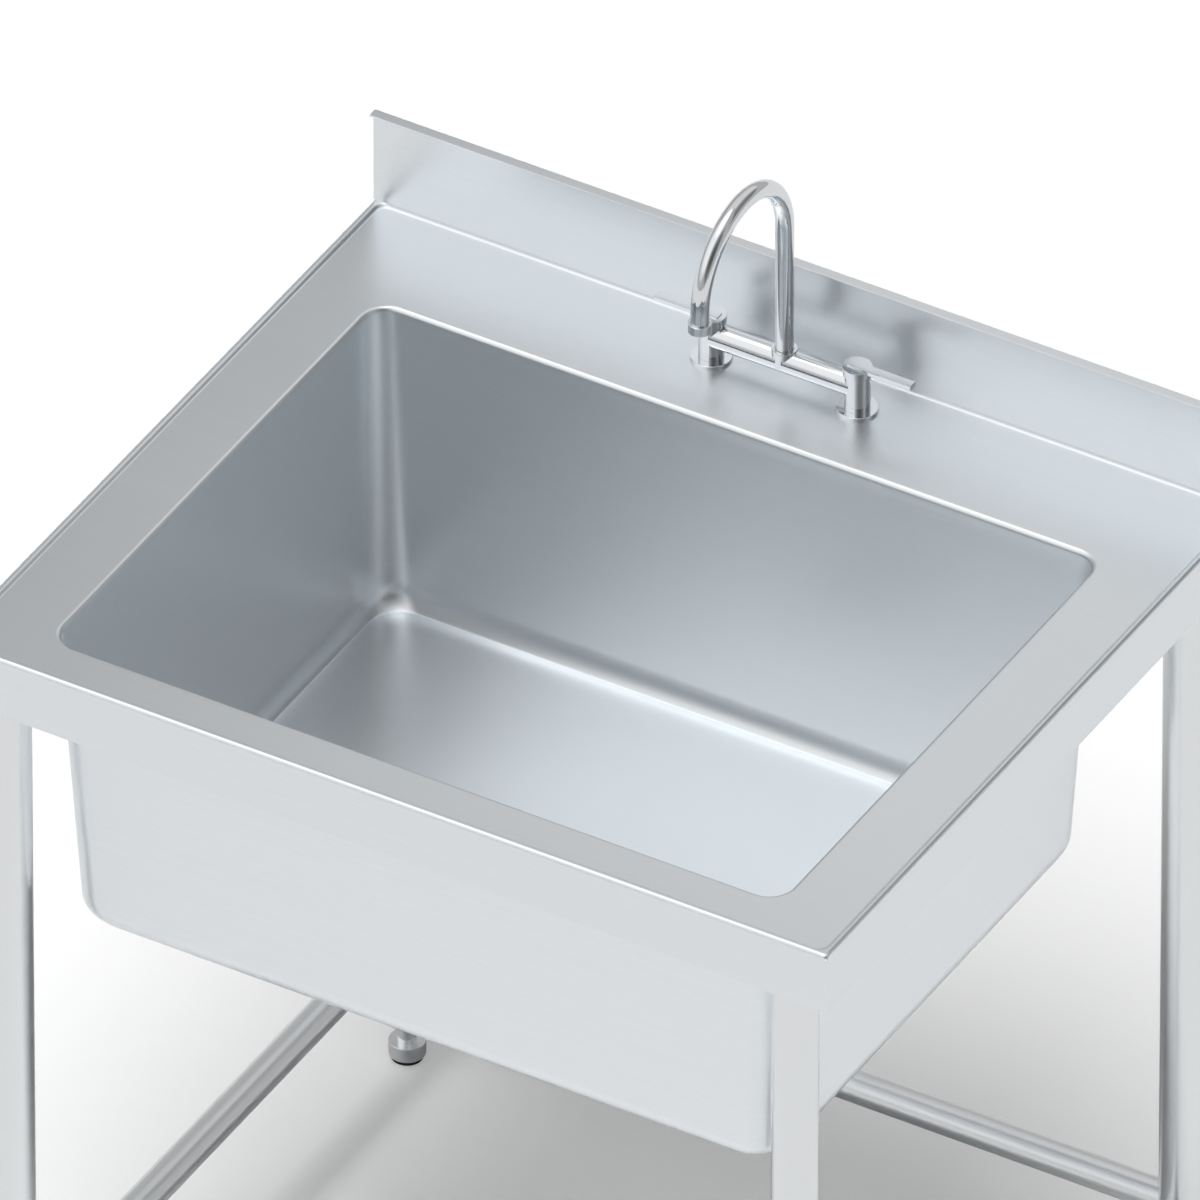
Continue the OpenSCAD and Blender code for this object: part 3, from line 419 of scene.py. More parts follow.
def noise(tree, stretch, detail):
    """Noise in object space, with a scale of its own along each axis."""
    place = tree.nodes.new("ShaderNodeTexCoord")
    mapping = tree.nodes.new("ShaderNodeMapping")
    mapping.inputs["Scale"].default_value = stretch
    texture = tree.nodes.new("ShaderNodeTexNoise")
    texture.inputs["Scale"].default_value = 1.0
    texture.inputs["Detail"].default_value = detail
    texture.inputs["Roughness"].default_value = NOISE_ROUGHNESS
    tree.links.new(place.outputs["Object"], mapping.inputs["Vector"])
    tree.links.new(mapping.outputs["Vector"], texture.inputs["Vector"])
    return texture.outputs["Fac"]


def spread(tree, value, low, high):
    """The useful span of a noise, spread from low to high."""
    node = tree.nodes.new("ShaderNodeMapRange")
    node.inputs["From Min"].default_value = NOISE_LOW
    node.inputs["From Max"].default_value = NOISE_HIGH
    node.inputs["To Min"].default_value = low
    node.inputs["To Max"].default_value = high
    tree.links.new(value, node.inputs["Value"])
    return node.outputs["Result"]


def tinted(tree, value, colour, low, high):
    """A colour made darker and lighter by a noise."""
    node = tree.nodes.new("ShaderNodeValToRGB")
    dark, light = node.color_ramp.elements
    dark.position = NOISE_LOW
    light.position = NOISE_HIGH
    dark.color = (*[c * low for c in colour], 1)
    light.color = (*[min(1, c * high) for c in colour], 1)
    tree.links.new(value, node.inputs["Fac"])
    return node.outputs["Color"]


def bump(tree, shader, value, strength, distance):
    """Small relief of the surface, from a noise."""
    node = tree.nodes.new("ShaderNodeBump")
    node.inputs["Strength"].default_value = strength
    node.inputs["Distance"].default_value = distance
    tree.links.new(value, node.inputs["Height"])
    tree.links.new(node.outputs["Normal"], shader.inputs["Normal"])


def satin(name, colour, grain, roughness, strength=1.0):
    """Satin steel: a fine grain in its colour, gloss and relief, and faint clouds in its gloss."""
    made, tree, shader = node_material(name, colour, 1.0, roughness)
    lines = noise(tree, grain, detail=2.0)
    clouds = noise(tree, CLOUD_SCALE, detail=4.0)
    blend = tree.nodes.new("ShaderNodeMix")
    blend.inputs["Factor"].default_value = 0.5
    tree.links.new(lines, blend.inputs["A"])
    tree.links.new(clouds, blend.inputs["B"])
    play = SATIN_GLOSS * strength
    gloss = spread(tree, blend.outputs["Result"], roughness - play, roughness + play)
    tree.links.new(gloss, shader.inputs["Roughness"])
    tint = tinted(tree, lines, colour, 1 - SATIN_DARKER * strength, 1 + SATIN_LIGHTER * strength)
    tree.links.new(tint, shader.inputs["Base Color"])
    bump(tree, shader, lines, SATIN_BUMP * strength, SATIN_DEPTH)
    return made


def polished(name, colour, roughness):
    """Polished metal with faint smears in its gloss and colour."""
    made, tree, shader = node_material(name, colour, 1.0, roughness)
    smears = noise(tree, SMEAR_SCALE, detail=3.0)
    gloss = spread(tree, smears, roughness * SMEAR_GLOSS_LOW, roughness * SMEAR_GLOSS_HIGH)
    tree.links.new(gloss, shader.inputs["Roughness"])
    tint = tinted(tree, smears, colour, SMEAR_TINT_LOW, SMEAR_TINT_HIGH)
    tree.links.new(tint, shader.inputs["Base Color"])
    return made


def moulded(name, colour, roughness):
    """Rubber, plastic or fibre with a fine moulded grain."""
    made, tree, shader = node_material(name, colour, 0.0, roughness)
    grains = noise(tree, MOULD_SCALE, detail=2.0)
    gloss = spread(tree, grains, roughness - MOULD_GLOSS, min(1, roughness + MOULD_GLOSS))
    tree.links.new(gloss, shader.inputs["Roughness"])
    tint = tinted(tree, grains, colour, MOULD_TINT_LOW, MOULD_TINT_HIGH)
    tree.links.new(tint, shader.inputs["Base Color"])
    bump(tree, shader, grains, MOULD_BUMP, MOULD_DEPTH)
    return made


SATIN = satin("satin_sheet", STEEL, grain=(3, 900, 900), roughness=0.33)
# Its colour is the lightened bowl steel, painted light for the bowl's shaded inside; the grain is its own
SATIN_BOWL = satin("satin_bowl", BOWL_STEEL_LIGHTENED, grain=(5, 5, 500), roughness=0.33)
SATIN_TUBE = satin("satin_tube", TUBE_STEEL, grain=(300, 300, 4), roughness=0.25, strength=0.15)
SATIN_RAIL = satin("satin_rail", TUBE_STEEL, grain=(60, 60, 60), roughness=0.32, strength=0.15)
SATIN_FOOT = satin("satin_foot", TUBE_STEEL, grain=(60, 60, 900), roughness=0.22)
STRAINER = satin("satin_strainer", STEEL, grain=(200, 200, 200), roughness=0.2)
DARK_STEEL = polished("dark_steel", BLACKENED, roughness=0.35)
CHROME_PLATE = polished("chrome_plate", CHROME, roughness=0.035)
BRASS = polished("brass", YELLOW_BRASS, roughness=0.28)
RUBBER = moulded("black_rubber", BLACK, roughness=0.6)
PLASTIC = moulded("grey_plastic", GREY, roughness=0.45)
FIBRE = moulded("fibre", TAN, roughness=0.85)


def bead_corner_r(s):
    """Plan radius of the worktop's corners, at an inset across the bead."""
    return BEAD_CORNER_OUT_R + (BEAD_CORNER_IN_R - BEAD_CORNER_OUT_R) * s / BEAD_FOOT_S


def cove_y(h):
    """Where the cove behind the pan is, at a height from the crest."""
    return SPLASH_Y - COVE_R + math.sqrt(max(0, COVE_R ** 2 - (COVE_R - PAN_DROP - h) ** 2))


def apron_ring(s, z):
    """Ring round all four aprons, at an inset."""
    return ring(HALF_W - s, s - HALF_D, HALF_D - s, z, FOLD_R, FOLD_R)


def shoulder_ring(s, h):
    """Ring over the bead's outer shoulder, straight across the back."""
    return ring(HALF_W - s, s - HALF_D, HALF_D, CREST_Z + h, bead_corner_r(s), FOLD_R)


def slope_ring(s, h):
    """Ring down the bead's inner slope, with its back edge on the cove."""
    return ring(HALF_W - s, s - HALF_D, cove_y(h), CREST_Z + h, bead_corner_r(s), bead_corner_r(s))


def under_ring(s, h):
    """Ring on the underside of the bead, with its back edge below the deck."""
    back = HALF_D - SHEET - (s - SHEET) / 2
    return ring(HALF_W - s, s - HALF_D, back, CREST_Z + h, bead_corner_r(s), bead_corner_r(s), DECK_UNDER_Z)


def bowl_ring(s, z, r):
    """Ring of the bowl, at an inset from its inside at the top."""
    return ring(BOWL_HALF_W - s, BOWL_FRONT_Y + s, BOWL_REAR_Y - s, z, r, r)


def rim_ring(a, r):
    """Ring over the rolled rim, at an angle from the pan down into the bowl."""
    turn = r * math.sin(a)
    return bowl_ring(turn - RIM_R, PAN_Z - RIM_R + r * math.cos(a), BOWL_CORNER_TOP_R + RIM_R - turn)


def bead_under():
    """Inside of the bead, from the pan out to the apron, as (inset, height) pairs."""
    foot_r, in_r, out_r = BEAD_FOOT_R + SHEET, BEAD_IN_R - SHEET, BEAD_OUT_R - SHEET
    foot = [
        (BEAD_FOOT_S - foot_r * math.sin(a), BEAD_FOOT_R - PAN_DROP - foot_r * math.cos(a))
        for a in arc(0, BEAD_TURN)[:-1]
    ]
    inner = [(BEAD_IN_S + in_r * math.sin(a), in_r * math.cos(a) - BEAD_IN_R) for a in arc(BEAD_TURN, 0)]
    outer = [(BEAD_OUT_R - out_r * math.cos(a), out_r * math.sin(a) - BEAD_OUT_R) for a in arc(QUARTER, 0)]
    return foot + inner + outer


def make_worktop():
    """Aprons, bead, pan and rolled rim as one pressed and folded sheet, with two tap holes."""
    rings = [
        apron_ring(FOLD_R / 2, APRON_Z),
        apron_ring(0, APRON_Z + FOLD_R / 2),
        apron_ring(0, CREST_Z - BEAD_OUT_R - FOLD_R),
    ]
    rings += [
        shoulder_ring(BEAD_OUT_R * (1 - math.cos(a)), BEAD_OUT_R * (math.sin(a) - 1))
        for a in arc(0, QUARTER, BEND_STEPS)
    ]
    rings += [
        slope_ring(BEAD_IN_S + BEAD_IN_R * math.sin(a), BEAD_IN_R * (math.cos(a) - 1))
        for a in arc(0, BEAD_TURN)
    ]
    rings += [
        slope_ring(BEAD_FOOT_S - BEAD_FOOT_R * math.sin(a), BEAD_FOOT_R * (1 - math.cos(a)) - PAN_DROP)
        for a in arc(BEAD_TURN, 0)[1:]
    ]
    rings += [rim_ring(a, RIM_R) for a in arc(0, QUARTER, BEND_STEPS)]
    rings += [
        bowl_ring(0, SKIRT_Z, BOWL_CORNER_TOP_R),
        bowl_ring(-SHEET, SKIRT_Z, BOWL_CORNER_TOP_R + SHEET),
    ]
    rings += [rim_ring(a, RIM_R - SHEET) for a in arc(QUARTER, 0)]
    rings += [under_ring(s, h) for s, h in bead_under()]
    rings += [
        apron_ring(SHEET, APRON_Z + SHEET),
        apron_ring(APRON_RETURN, APRON_Z + SHEET),
        apron_ring(APRON_RETURN, APRON_Z),
    ]
    piece = skin("worktop_sheet", rings, closed=True)
    hole_r, hole_z = TAP_HOLE_D / 2, DECK_UNDER_Z - RIM_R
    plug = [(0, hole_z), (hole_r, hole_z), (hole_r, CREST_Z), (0, CREST_Z)]
    cut(piece, [lathe(f"hole_{side}", plug, axis_foot(f"tap_shank_{side}")) for side in SIDES])
    dress(piece, SATIN, "sink", "worktop")


def make_splashback():
    """Upstand with its flat lip, with the end of the cove at its foot."""
    top, lip_y = splash_high.z, splash_low.y
    foot = math.asin((COVE_R - PAN_DROP) / COVE_R)
    cove = [
        (SPLASH_Y - COVE_R + COVE_R * math.cos(a), PAN_Z + COVE_R - COVE_R * math.sin(a))
        for a in arc(foot, 0, COVE_STEPS)
    ]
    face = rounded(
        [
            cove[-1], (SPLASH_Y, top - LIP_T), (lip_y, top - LIP_T),
            (lip_y, top), (HALF_D, top), (HALF_D, CREST_Z),
        ],
        [0, EDGE_R, EDGE_R, LIP_EDGE_R, LIP_EDGE_R, 0],
        closed=False,
    )
    outline = [Vector(p) for p in cove[:-1]] + face
    places = (-HALF_W, -HALF_W + EDGE_R / 2, HALF_W - EDGE_R / 2, HALF_W)
    rings = [[Vector((x, p[0], p[1])) for p in outline] for x in places]
    piece = skin("splash_panel", rings, capped=True)
    dress(piece, SATIN, "sink", "splashback")


def wall_inset(z):
    """How far the bowl's wall leans in at a height; the lean starts softly below the skirt."""
    slope = DRAFT / (SKIRT_Z - BOWL_FLOOR_Z)
    down = SKIRT_Z - z
    if down < DRAFT_START:
        return slope * down ** 2 / (2 * DRAFT_START)
    return slope * (down - DRAFT_START / 2)


def wall_corner_r(inset):
    """Plan radius of the bowl's corners where its wall has leant in this far."""
    return BOWL_CORNER_TOP_R + (BOWL_CORNER_FOOT_R - BOWL_CORNER_TOP_R) * inset / DRAFT


def wall_ring(z, out=0.0):
    """Ring of the bowl's wall at a height, on its inside or that far outside it."""
    inset = wall_inset(z)
    return bowl_ring(inset - out, z, wall_corner_r(inset) + out)


def recess_ring(d, z):
    """Round ring about the waste."""
    return ring(d / 2, BOWL_Y - d / 2, BOWL_Y + d / 2, z, d / 2 - RING_FLAT, d / 2 - RING_FLAT)


def recess_edge(base):
    """Rings of the recess's sloped edge, inwards from a floor height, rounded above and below."""
    floor_d = RECESS_D - 2 * RECESS_SLOPE
    outline = rounded(
        [
            (RECESS_D + RECESS_RUN, base), (RECESS_D, base),
            (floor_d, base - RECESS_H), (floor_d - RECESS_RUN, base - RECESS_H),
        ],
        RECESS_EDGE_R, closed=False,
    )
    return [recess_ring(d, z) for d, z in outline]


def make_bowl():
    """Deep drawn tub with its floor edge and the pressed recess round the waste."""
    lean = math.atan(DRAFT / (SKIRT_Z - BOWL_FLOOR_Z))
    fillet_z = BOWL_FLOOR_Z + FLOOR_ARC_R * math.sin(FLOOR_ARC_END)
    wall_s = wall_inset(fillet_z)
    wall_r = wall_corner_r(wall_s)

    def fillet_ring(a, r):
        """Ring of the arc between wall and floor."""
        inset = FLOOR_ARC_R / math.cos(lean) - r * math.cos(a)
        share = (1 - math.cos(a)) / (1 - math.cos(FLOOR_ARC_END))
        plan_r = wall_r + (FLOOR_CORNER_R - wall_r) * share + (r - FLOOR_ARC_R) * math.cos(a)
        return bowl_ring(wall_s + inset, fillet_z - r * math.sin(a), plan_r)

    wall_z = [SKIRT_Z - DRAFT_START * i / LEAN_STEPS for i in range(LEAN_STEPS + 1)]
    under_end = FLOOR_ARC_END + UNDER_TURN
    outside = [recess_ring(WASTE_HOLE_D, BOWL_FLOOR_Z - RECESS_H - SHEET)]
    outside += reversed(recess_edge(BOWL_FLOOR_Z - SHEET))
    outside += [fillet_ring(a, FLOOR_ARC_R + SHEET) for a in arc(under_end, lean, FLOOR_ARC_STEPS)]
    outside += [wall_ring(z, SHEET) for z in reversed(wall_z)]
    inside = [wall_ring(z) for z in wall_z]
    inside += [fillet_ring(a, FLOOR_ARC_R) for a in arc(lean, FLOOR_ARC_END, FLOOR_ARC_STEPS)]
    inside += recess_edge(BOWL_FLOOR_Z)
    inside.append(recess_ring(WASTE_HOLE_D, BOWL_FLOOR_Z - RECESS_H))
    piece = skin("bowl_tub", outside + inside, closed=True)
    dress(piece, SATIN_BOWL, "sink", "bowl")


def make_legs():
    """Four upright tubes."""
    for name in CORNERS:
        node = f"leg_{name}"
        low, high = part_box(node)
        outer = radius_of(node)
        inner = outer - TUBE_WALL
        outline = [(inner, low.z), (outer, low.z), (outer, high.z), (inner, high.z)]
        outline = rounded(outline, EDGE_R, FINE_ROUND_STEPS)
        piece = lathe(f"leg_tube_{name}", outline, axis_foot(node), steps=TUBE_STEPS)
        dress(piece, SATIN_TUBE, "sink", node)


def rail(name, node, start, end, leg_r):
    """Tube between two legs' axes with its ends shaped to them."""
    low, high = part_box(node)
    outer = (high.z - low.z) / 2
    inner = outer - TUBE_WALL
    along = (end - start).normalized()
    side = along.cross(Z_AXIS)

    def loop(centre, r, towards=0):
        """Ring about the rail's axis; one on a leg's axis is pushed along it, out to the leg's surface."""
        points = []
        for a in circle(TUBE_STEPS):
            across = r * math.cos(a)
            push = math.sqrt(leg_r ** 2 - across ** 2) if towards else 0
            points.append(centre + side * across + Z_AXIS * (r * math.sin(a)) + along * (push * towards))
        return points

    middle = [start + (end - start) * share for share in RAIL_SHARES]
    rings = [loop(start, outer, 1), *[loop(m, outer) for m in middle], loop(end, outer, -1)]
    rings += [loop(end, inner, -1), *[loop(m, inner) for m in reversed(middle)], loop(start, inner, 1)]
    piece = skin(name, rings, closed=True)
    dress(piece, SATIN_RAIL, "sink", node)


def make_rails():
    """A rail on each side and one between the rear legs, all at one height."""
    leg_r = radius_of("leg_rear_left")
    rise = Z_AXIS * centre_of("rail_rear").z
    ends = {name: axis_foot(f"leg_{name}") + rise for name in CORNERS}
    for side in SIDES:
        rail(f"rail_tube_{side}", f"rail_{side}", ends[f"front_{side}"], ends[f"rear_{side}"], leg_r)
    rail("rail_tube_rear", "rail_rear", ends["rear_left"], ends["rear_right"], leg_r)


def make_feet():
    """Turned cup and stem of each levelling foot, and the rubber pad in the cup."""
    for name in CORNERS:
        node, pad_node = f"foot_{name}", f"foot_pad_{name}"
        body = f"levelling_foot_{name}"
        low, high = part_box(node)
        seat_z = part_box(pad_node)[1].z
        cup_r, pad_r = radius_of(node), radius_of(pad_node)
        mouth_r, cup_top = pad_r + PAD_GAP, low.z + CUP_H
        outline = rounded(
            [
                (0, seat_z), (mouth_r, seat_z), (mouth_r, low.z), (cup_r, low.z),
                (cup_r, cup_top), (STEM_R, cup_top), (STEM_R, high.z), (0, high.z),
            ],
            [0, 0, CUP_MOUTH_R, CUP_FOOT_R, CUP_TOP_R, STEM_EDGE_R, STEM_EDGE_R, 0],
        )
        metal = lathe(f"foot_cup_{name}", outline, axis_foot(node))
        dress(metal, SATIN_FOOT, body, node)
        outline = rounded([(0, 0), (pad_r, 0), (pad_r, seat_z), (0, seat_z)], [0, PAD_FOOT_R, PAD_TOP_R, 0])
        pad = lathe(f"foot_rubber_{name}", outline, axis_foot(node))
        dress(pad, RUBBER, body, pad_node)


def make_tap_body():
    """Pillars, bridge and boss as one casting, bored for the valves, the shanks and the spout."""
    left, right = [centre_of(f"tap_flange_{side}") for side in SIDES]
    y = left.y
    flange_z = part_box("tap_flange_left")[1].z
    bridge_z, boss_z, top_z = PAN_Z + BRIDGE_H, PAN_Z + BOSS_TOP, PAN_Z + TAP_TOP
    pillars = [
        rod("pillar", (x, y, flange_z), (x, y, top_z), PILLAR_D / 2, EDGE_R) for x in (left.x, right.x)
    ]
    bridge = rod("bridge", (left.x, y, bridge_z), (right.x, y, bridge_z), BRIDGE_D / 2)
    boss = rod("boss", (0, y, bridge_z - BOSS_DROP), (0, y, boss_z), BOSS_D / 2, BOSS_EDGE_R)
    body = cut(pillars[0], [pillars[1], bridge, boss], "UNION")
    spigot_bore_r = SPIGOT_D / 2 + SPIGOT_CLEARANCE
    bores = [rod("bore", (0, y, boss_z - BOSS_BORE_H), (0, y, boss_z + OVERRUN), spigot_bore_r)]
    for x in (left.x, right.x):
        bores += [
            rod("bore", (x, y, PAN_Z + VALVE_BORE_FLOOR), (x, y, top_z + OVERRUN), VALVE_BORE_R),
            rod("bore", (x, y, PAN_Z), (x, y, PAN_Z + SHANK_BORE_H), SHANK_BORE_R),
        ]
    cut(body, bores)
    body.name = body.data.name = "tap_casting"
    dress(body, CHROME_PLATE, "sink", "tap_body", TAP_SHARP)


def make_tap_flanges():
    """Turned cover under each pillar, hollow below."""
    for side in SIDES:
        node = f"tap_flange_{side}"
        low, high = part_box(node)
        r = radius_of(node)
        roof = low.z + FLANGE_HOLLOW
        outline = rounded(
            [
                (FLANGE_BORE_R, roof), (r - FLANGE_RIM, roof), (r - FLANGE_RIM, low.z),
                (r, low.z), (r, high.z), (FLANGE_BORE_R, high.z),
            ],
            [0, 0, 0, FLANGE_FOOT_R, FLANGE_TOP_R, 0],
        )
        piece = lathe(f"tap_cover_{side}", outline, axis_foot(node), steps=TUBE_STEPS)
        dress(piece, CHROME_PLATE, "sink", node)


def make_levers():
    """Hub with a flat bar across it, for each side."""
    for side, sign in SIDES.items():
        low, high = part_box(f"tap_handle_{side}")
        axis_x = centre_of(f"tap_flange_{side}").x
        y = (low.y + high.y) / 2
        hub_top = low.z + HUB_H
        hub = rod("hub", (axis_x, y, low.z), (axis_x, y, hub_top), HUB_D / 2, TURNED_EDGE)
        end = high.x if sign > 0 else low.x
        tail = axis_x - sign * LEVER_TAIL
        half, half_t = LEVER_W / 2, LEVER_T / 2
        section = [(-half, high.z - LEVER_T), (half, high.z - LEVER_T), (half, high.z), (-half, high.z)]
        section = rounded(section, TURNED_EDGE, FINE_ROUND_STEPS)
        mid_z = high.z - half_t
        step = sign * TURNED_EDGE
        rings = []
        for x, inset in ((tail, 0), (tail + step, 0), (end - step, 0), (end, TURNED_EDGE)):
            share_y, share_z = (half - inset) / half, (half_t - inset) / half_t
            rings.append([
                Vector((x, y + p[0] * share_y, mid_z + (p[1] - mid_z) * share_z)) for p in section
            ])
        handle = cut(hub, [skin("bar", rings, capped=True)], "UNION")
        bore = rod("bore", (axis_x, y, low.z - OVERRUN), (axis_x, y, hub_top - HUB_ROOF), SPINDLE_BORE_R)
        cut(handle, [bore])
        handle.name = handle.data.name = f"lever_{side}"
        dress(handle, CHROME_PLATE, f"{side}_lever", f"tap_handle_{side}", TAP_SHARP)


def make_spout():
    """Swept gooseneck with an open lower end, and its grooved spigot in the boss."""
    y = centre_of("spout_orings").y
    foot_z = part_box("spout")[0].z
    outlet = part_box("aerator_insert")[1].z
    shoulder = PAN_Z + BOSS_TOP + SPOUT_GAP
    arc_z = PAN_Z + ARC_H
    path = [(y, shoulder), (y, shoulder + SPOUT_EDGE_H), (y, (shoulder + arc_z) / 2)]
    path += [
        (y - BEND_R + BEND_R * math.cos(a), arc_z + BEND_R * math.sin(a))
        for a in arc(0, 2 * QUARTER, SPOUT_ARC_STEPS)
    ]
    path.append((y - 2 * BEND_R, outlet))

    def loop(i, r):
        """Ring square to the path at one of its points."""
        before, after = path[max(i - 1, 0)], path[min(i + 1, len(path) - 1)]
        along = Vector((0, after[0] - before[0], after[1] - before[1])).normalized()
        out = X_AXIS.cross(along)
        centre = Vector((0, path[i][0], path[i][1]))
        return [centre + X_AXIS * (r * math.cos(a)) + out * (r * math.sin(a)) for a in circle(SPOUT_STEPS)]

    spigot_r, groove_foot, groove_top = SPIGOT_D / 2, shoulder - GROOVE_FOOT, shoulder - GROOVE_TOP
    spigot = [
        (WATERWAY_R, shoulder + SPOUT_WALL), (WATERWAY_R, foot_z), (spigot_r, foot_z),
        (spigot_r, groove_foot), (GROOVE_R, groove_foot), (GROOVE_R, groove_top),
        (spigot_r, groove_top), (spigot_r, shoulder),
    ]
    rings = [
        [Vector((r * math.cos(a), y - r * math.sin(a), z)) for a in circle(SPOUT_STEPS)]
        for r, z in spigot
    ]
    outer, inner = SPOUT_D / 2, SPOUT_D / 2 - SPOUT_WALL
    rings += [loop(0, outer - SPOUT_EDGE_W)] + [loop(i, outer) for i in range(1, len(path))]
    rings += [loop(i, inner) for i in range(len(path) - 1, 0, -1)]
    piece = skin("spout_tube", rings, closed=True)
    dress(piece, CHROME_PLATE, "swivel_spout", "spout", SPOUT_SHARP)


def make_aerator():
    """Ring round the spout's end, turned in below to hold the insert."""
    low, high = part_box("aerator_housing")
    r, bore = radius_of("aerator_housing"), SPOUT_D / 2 + AERATOR_GAP
    mouth, ledge = bore - AERATOR_LIP, low.z + AERATOR_LIP
    outline = rounded(
        [(mouth, low.z), (r, low.z), (r, high.z), (bore, high.z), (bore, ledge), (mouth, ledge)],
        [AERATOR_EDGE_R, AERATOR_FOOT_R, AERATOR_TOP_R, AERATOR_EDGE_R, 0, AERATOR_EDGE_R],
    )
    piece = lathe("aerator_ring", outline, axis_foot("aerator_housing"), steps=TUBE_STEPS)
    dress(piece, CHROME_PLATE, "swivel_spout", "aerator_housing")


# Materials of the nodes that keep their own shapes, by how a node's name begins
NODE_MATERIALS = {
    "channel": SATIN,
    "leg_socket": SATIN,
    "leg_setscrews": DARK_STEEL,
    "leg_insert": PLASTIC,
    "strainer": STRAINER,
    "basket_stopper": RUBBER,
    "waste_gasket": RUBBER,
    "waste_washer": FIBRE,
    "waste_locknut": PLASTIC,
    "tailpiece_washer": RUBBER,
    "tailpiece": CHROME_PLATE,
    "coupling_nut": PLASTIC,
    "tap_gasket": RUBBER,
    "tap_shank": BRASS,
    "tap_washers": RUBBER,
    "tap_nuts": BRASS,
    "tap_cartridge": BRASS,
    "tap_spindle": BRASS,
    "spout_orings": RUBBER,
    "spout_setscrew": DARK_STEEL,
    "aerator_insert": PLASTIC,
}


def dress_nodes():
    """Gives each node that no piece replaces its material, by the longest beginning that fits."""
    for name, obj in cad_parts.items():
        found = [key for key in NODE_MATERIALS if name.startswith(key)]
        if found and not obj.hide_render:
            obj.data.materials.clear()
            obj.data.materials.append(NODE_MATERIALS[max(found, key=len)])


# Camera, solved from the photo
CAMERA_AZIMUTH = math.radians(30.288)
CAMERA_ELEVATION = math.radians(37.623)
CAMERA_TARGET = Vector((0.00084, 0, 0.9056))
VIEW_WIDTH = 1.06078
LENS = 1600.0
SENSOR = 36.0
CLIP_NEAR, CLIP_FAR = 1.0, 500.0

# Floor, which glows for the camera only
FLOOR_SIZE = 400.0
FLOOR_COLOUR = (0.9, 0.9, 0.9)
FLOOR_ROUGHNESS = 0.9
FLOOR_SPECULAR = 0.1
FLOOR_GLOW = 0.27

# Lamp
LAMP_FROM = Vector((0.06, -0.33, 0.94))
LAMP_DISTANCE = 5
LAMP_ANGLE = math.radians(37)
LAMP_POWER = 2.45
# Brightness of the world as a lamp
DAYLIGHT = 0.10

# Brightness of the studio in reflections, by the cosine to its bright side
STUDIO_FROM = Vector((-0.29, -0.50, 0.82))
STUDIO = [(0.0, 0.45), (0.5, 0.42), (0.65, 0.46), (0.75, 0.70), (0.87, 0.92), (1.0, 0.95)]
# How much of that is left, by the cosine to the dark side
DARK_FROM = Vector((0.58, -0.58, 0.57))
DARK_SIDE = [(0.80, 1.0), (0.93, 0.4), (1.0, 0.2)]
# Brightness that a strip overhead adds, by the cosine to it
STRIP_FROM = Vector((-0.18, 0.0, 0.98))
STRIP = [(0.90, 0.0), (0.945, 0.3), (0.965, 0.95), (1.0, 1.1)]
# Brightness of the overhead panel in reflections, by its X in metres, and its corners and height
PANEL = [(-1.25, 0.35), (-0.95, 0.45), (-0.6, 0.64), (-0.3, 0.69), (0.1, 0.69), (0.4, 0.3), (0.6, 0.2)]
PANEL_LOW, PANEL_HIGH, PANEL_Z = (-2.0, 0.5), (1.5, 2.1), 1.914


def link_all(tree, *pairs):
    """Links each pair of an output and an input."""
    for start, end in pairs:
        tree.links.new(start, end)


def ramp(tree, value, stops):
    """Smooth brightness over a value, from (value, brightness) stops."""
    low, high = stops[0][0], stops[-1][0]
    top = max(level for _, level in stops)
    place = tree.nodes.new("ShaderNodeMapRange")
    place.inputs["From Min"].default_value = low
    place.inputs["From Max"].default_value = high
    node = tree.nodes.new("ShaderNodeValToRGB")
    node.color_ramp.interpolation = "EASE"
    while len(node.color_ramp.elements) < len(stops):
        node.color_ramp.elements.new(0.5)
    for element, (at, level) in zip(node.color_ramp.elements, stops):
        element.position = (at - low) / (high - low)
        element.color = (level / top, level / top, level / top, 1)
    scale = tree.nodes.new("ShaderNodeMath")
    scale.operation = "MULTIPLY"
    scale.inputs[1].default_value = top
    link_all(
        tree,
        (value, place.inputs["Value"]),
        (place.outputs["Result"], node.inputs["Fac"]),
        (node.outputs["Color"], scale.inputs[0]),
    )
    return scale.outputs["Value"]


def choose(tree, test, when_false, when_true):
    """One number or another, by a test; each is a socket or a plain number."""
    mix = tree.nodes.new("ShaderNodeMix")
    tree.links.new(test, mix.inputs["Factor"])
    for socket, value in (("A", when_false), ("B", when_true)):
        if isinstance(value, (int, float)):
            mix.inputs[socket].default_value = value
        else:
            tree.links.new(value, mix.inputs[socket])
    return mix.outputs["Result"]


def make_floor():
    """Wide pale floor that runs out of view."""
    bpy.ops.mesh.primitive_plane_add(size=FLOOR_SIZE)
    floor = bpy.context.object
    floor.name = "floor"
    made, tree, shader = node_material("floor", FLOOR_COLOUR, 0.0, FLOOR_ROUGHNESS)
    shader.inputs["Specular IOR Level"].default_value = FLOOR_SPECULAR
    output = [n for n in tree.nodes if n.type == "OUTPUT_MATERIAL"][0]
    light = tree.nodes.new("ShaderNodeLightPath")
    glow = tree.nodes.new("ShaderNodeEmission")
    add = tree.nodes.new("ShaderNodeAddShader")
    link_all(
        tree,
        (choose(tree, light.outputs["Is Camera Ray"], 0.0, FLOOR_GLOW), glow.inputs["Strength"]),
        (shader.outputs["BSDF"], add.inputs[0]),
        (glow.outputs["Emission"], add.inputs[1]),
        (add.outputs["Shader"], output.inputs["Surface"]),
    )
    floor.data.materials.append(made)


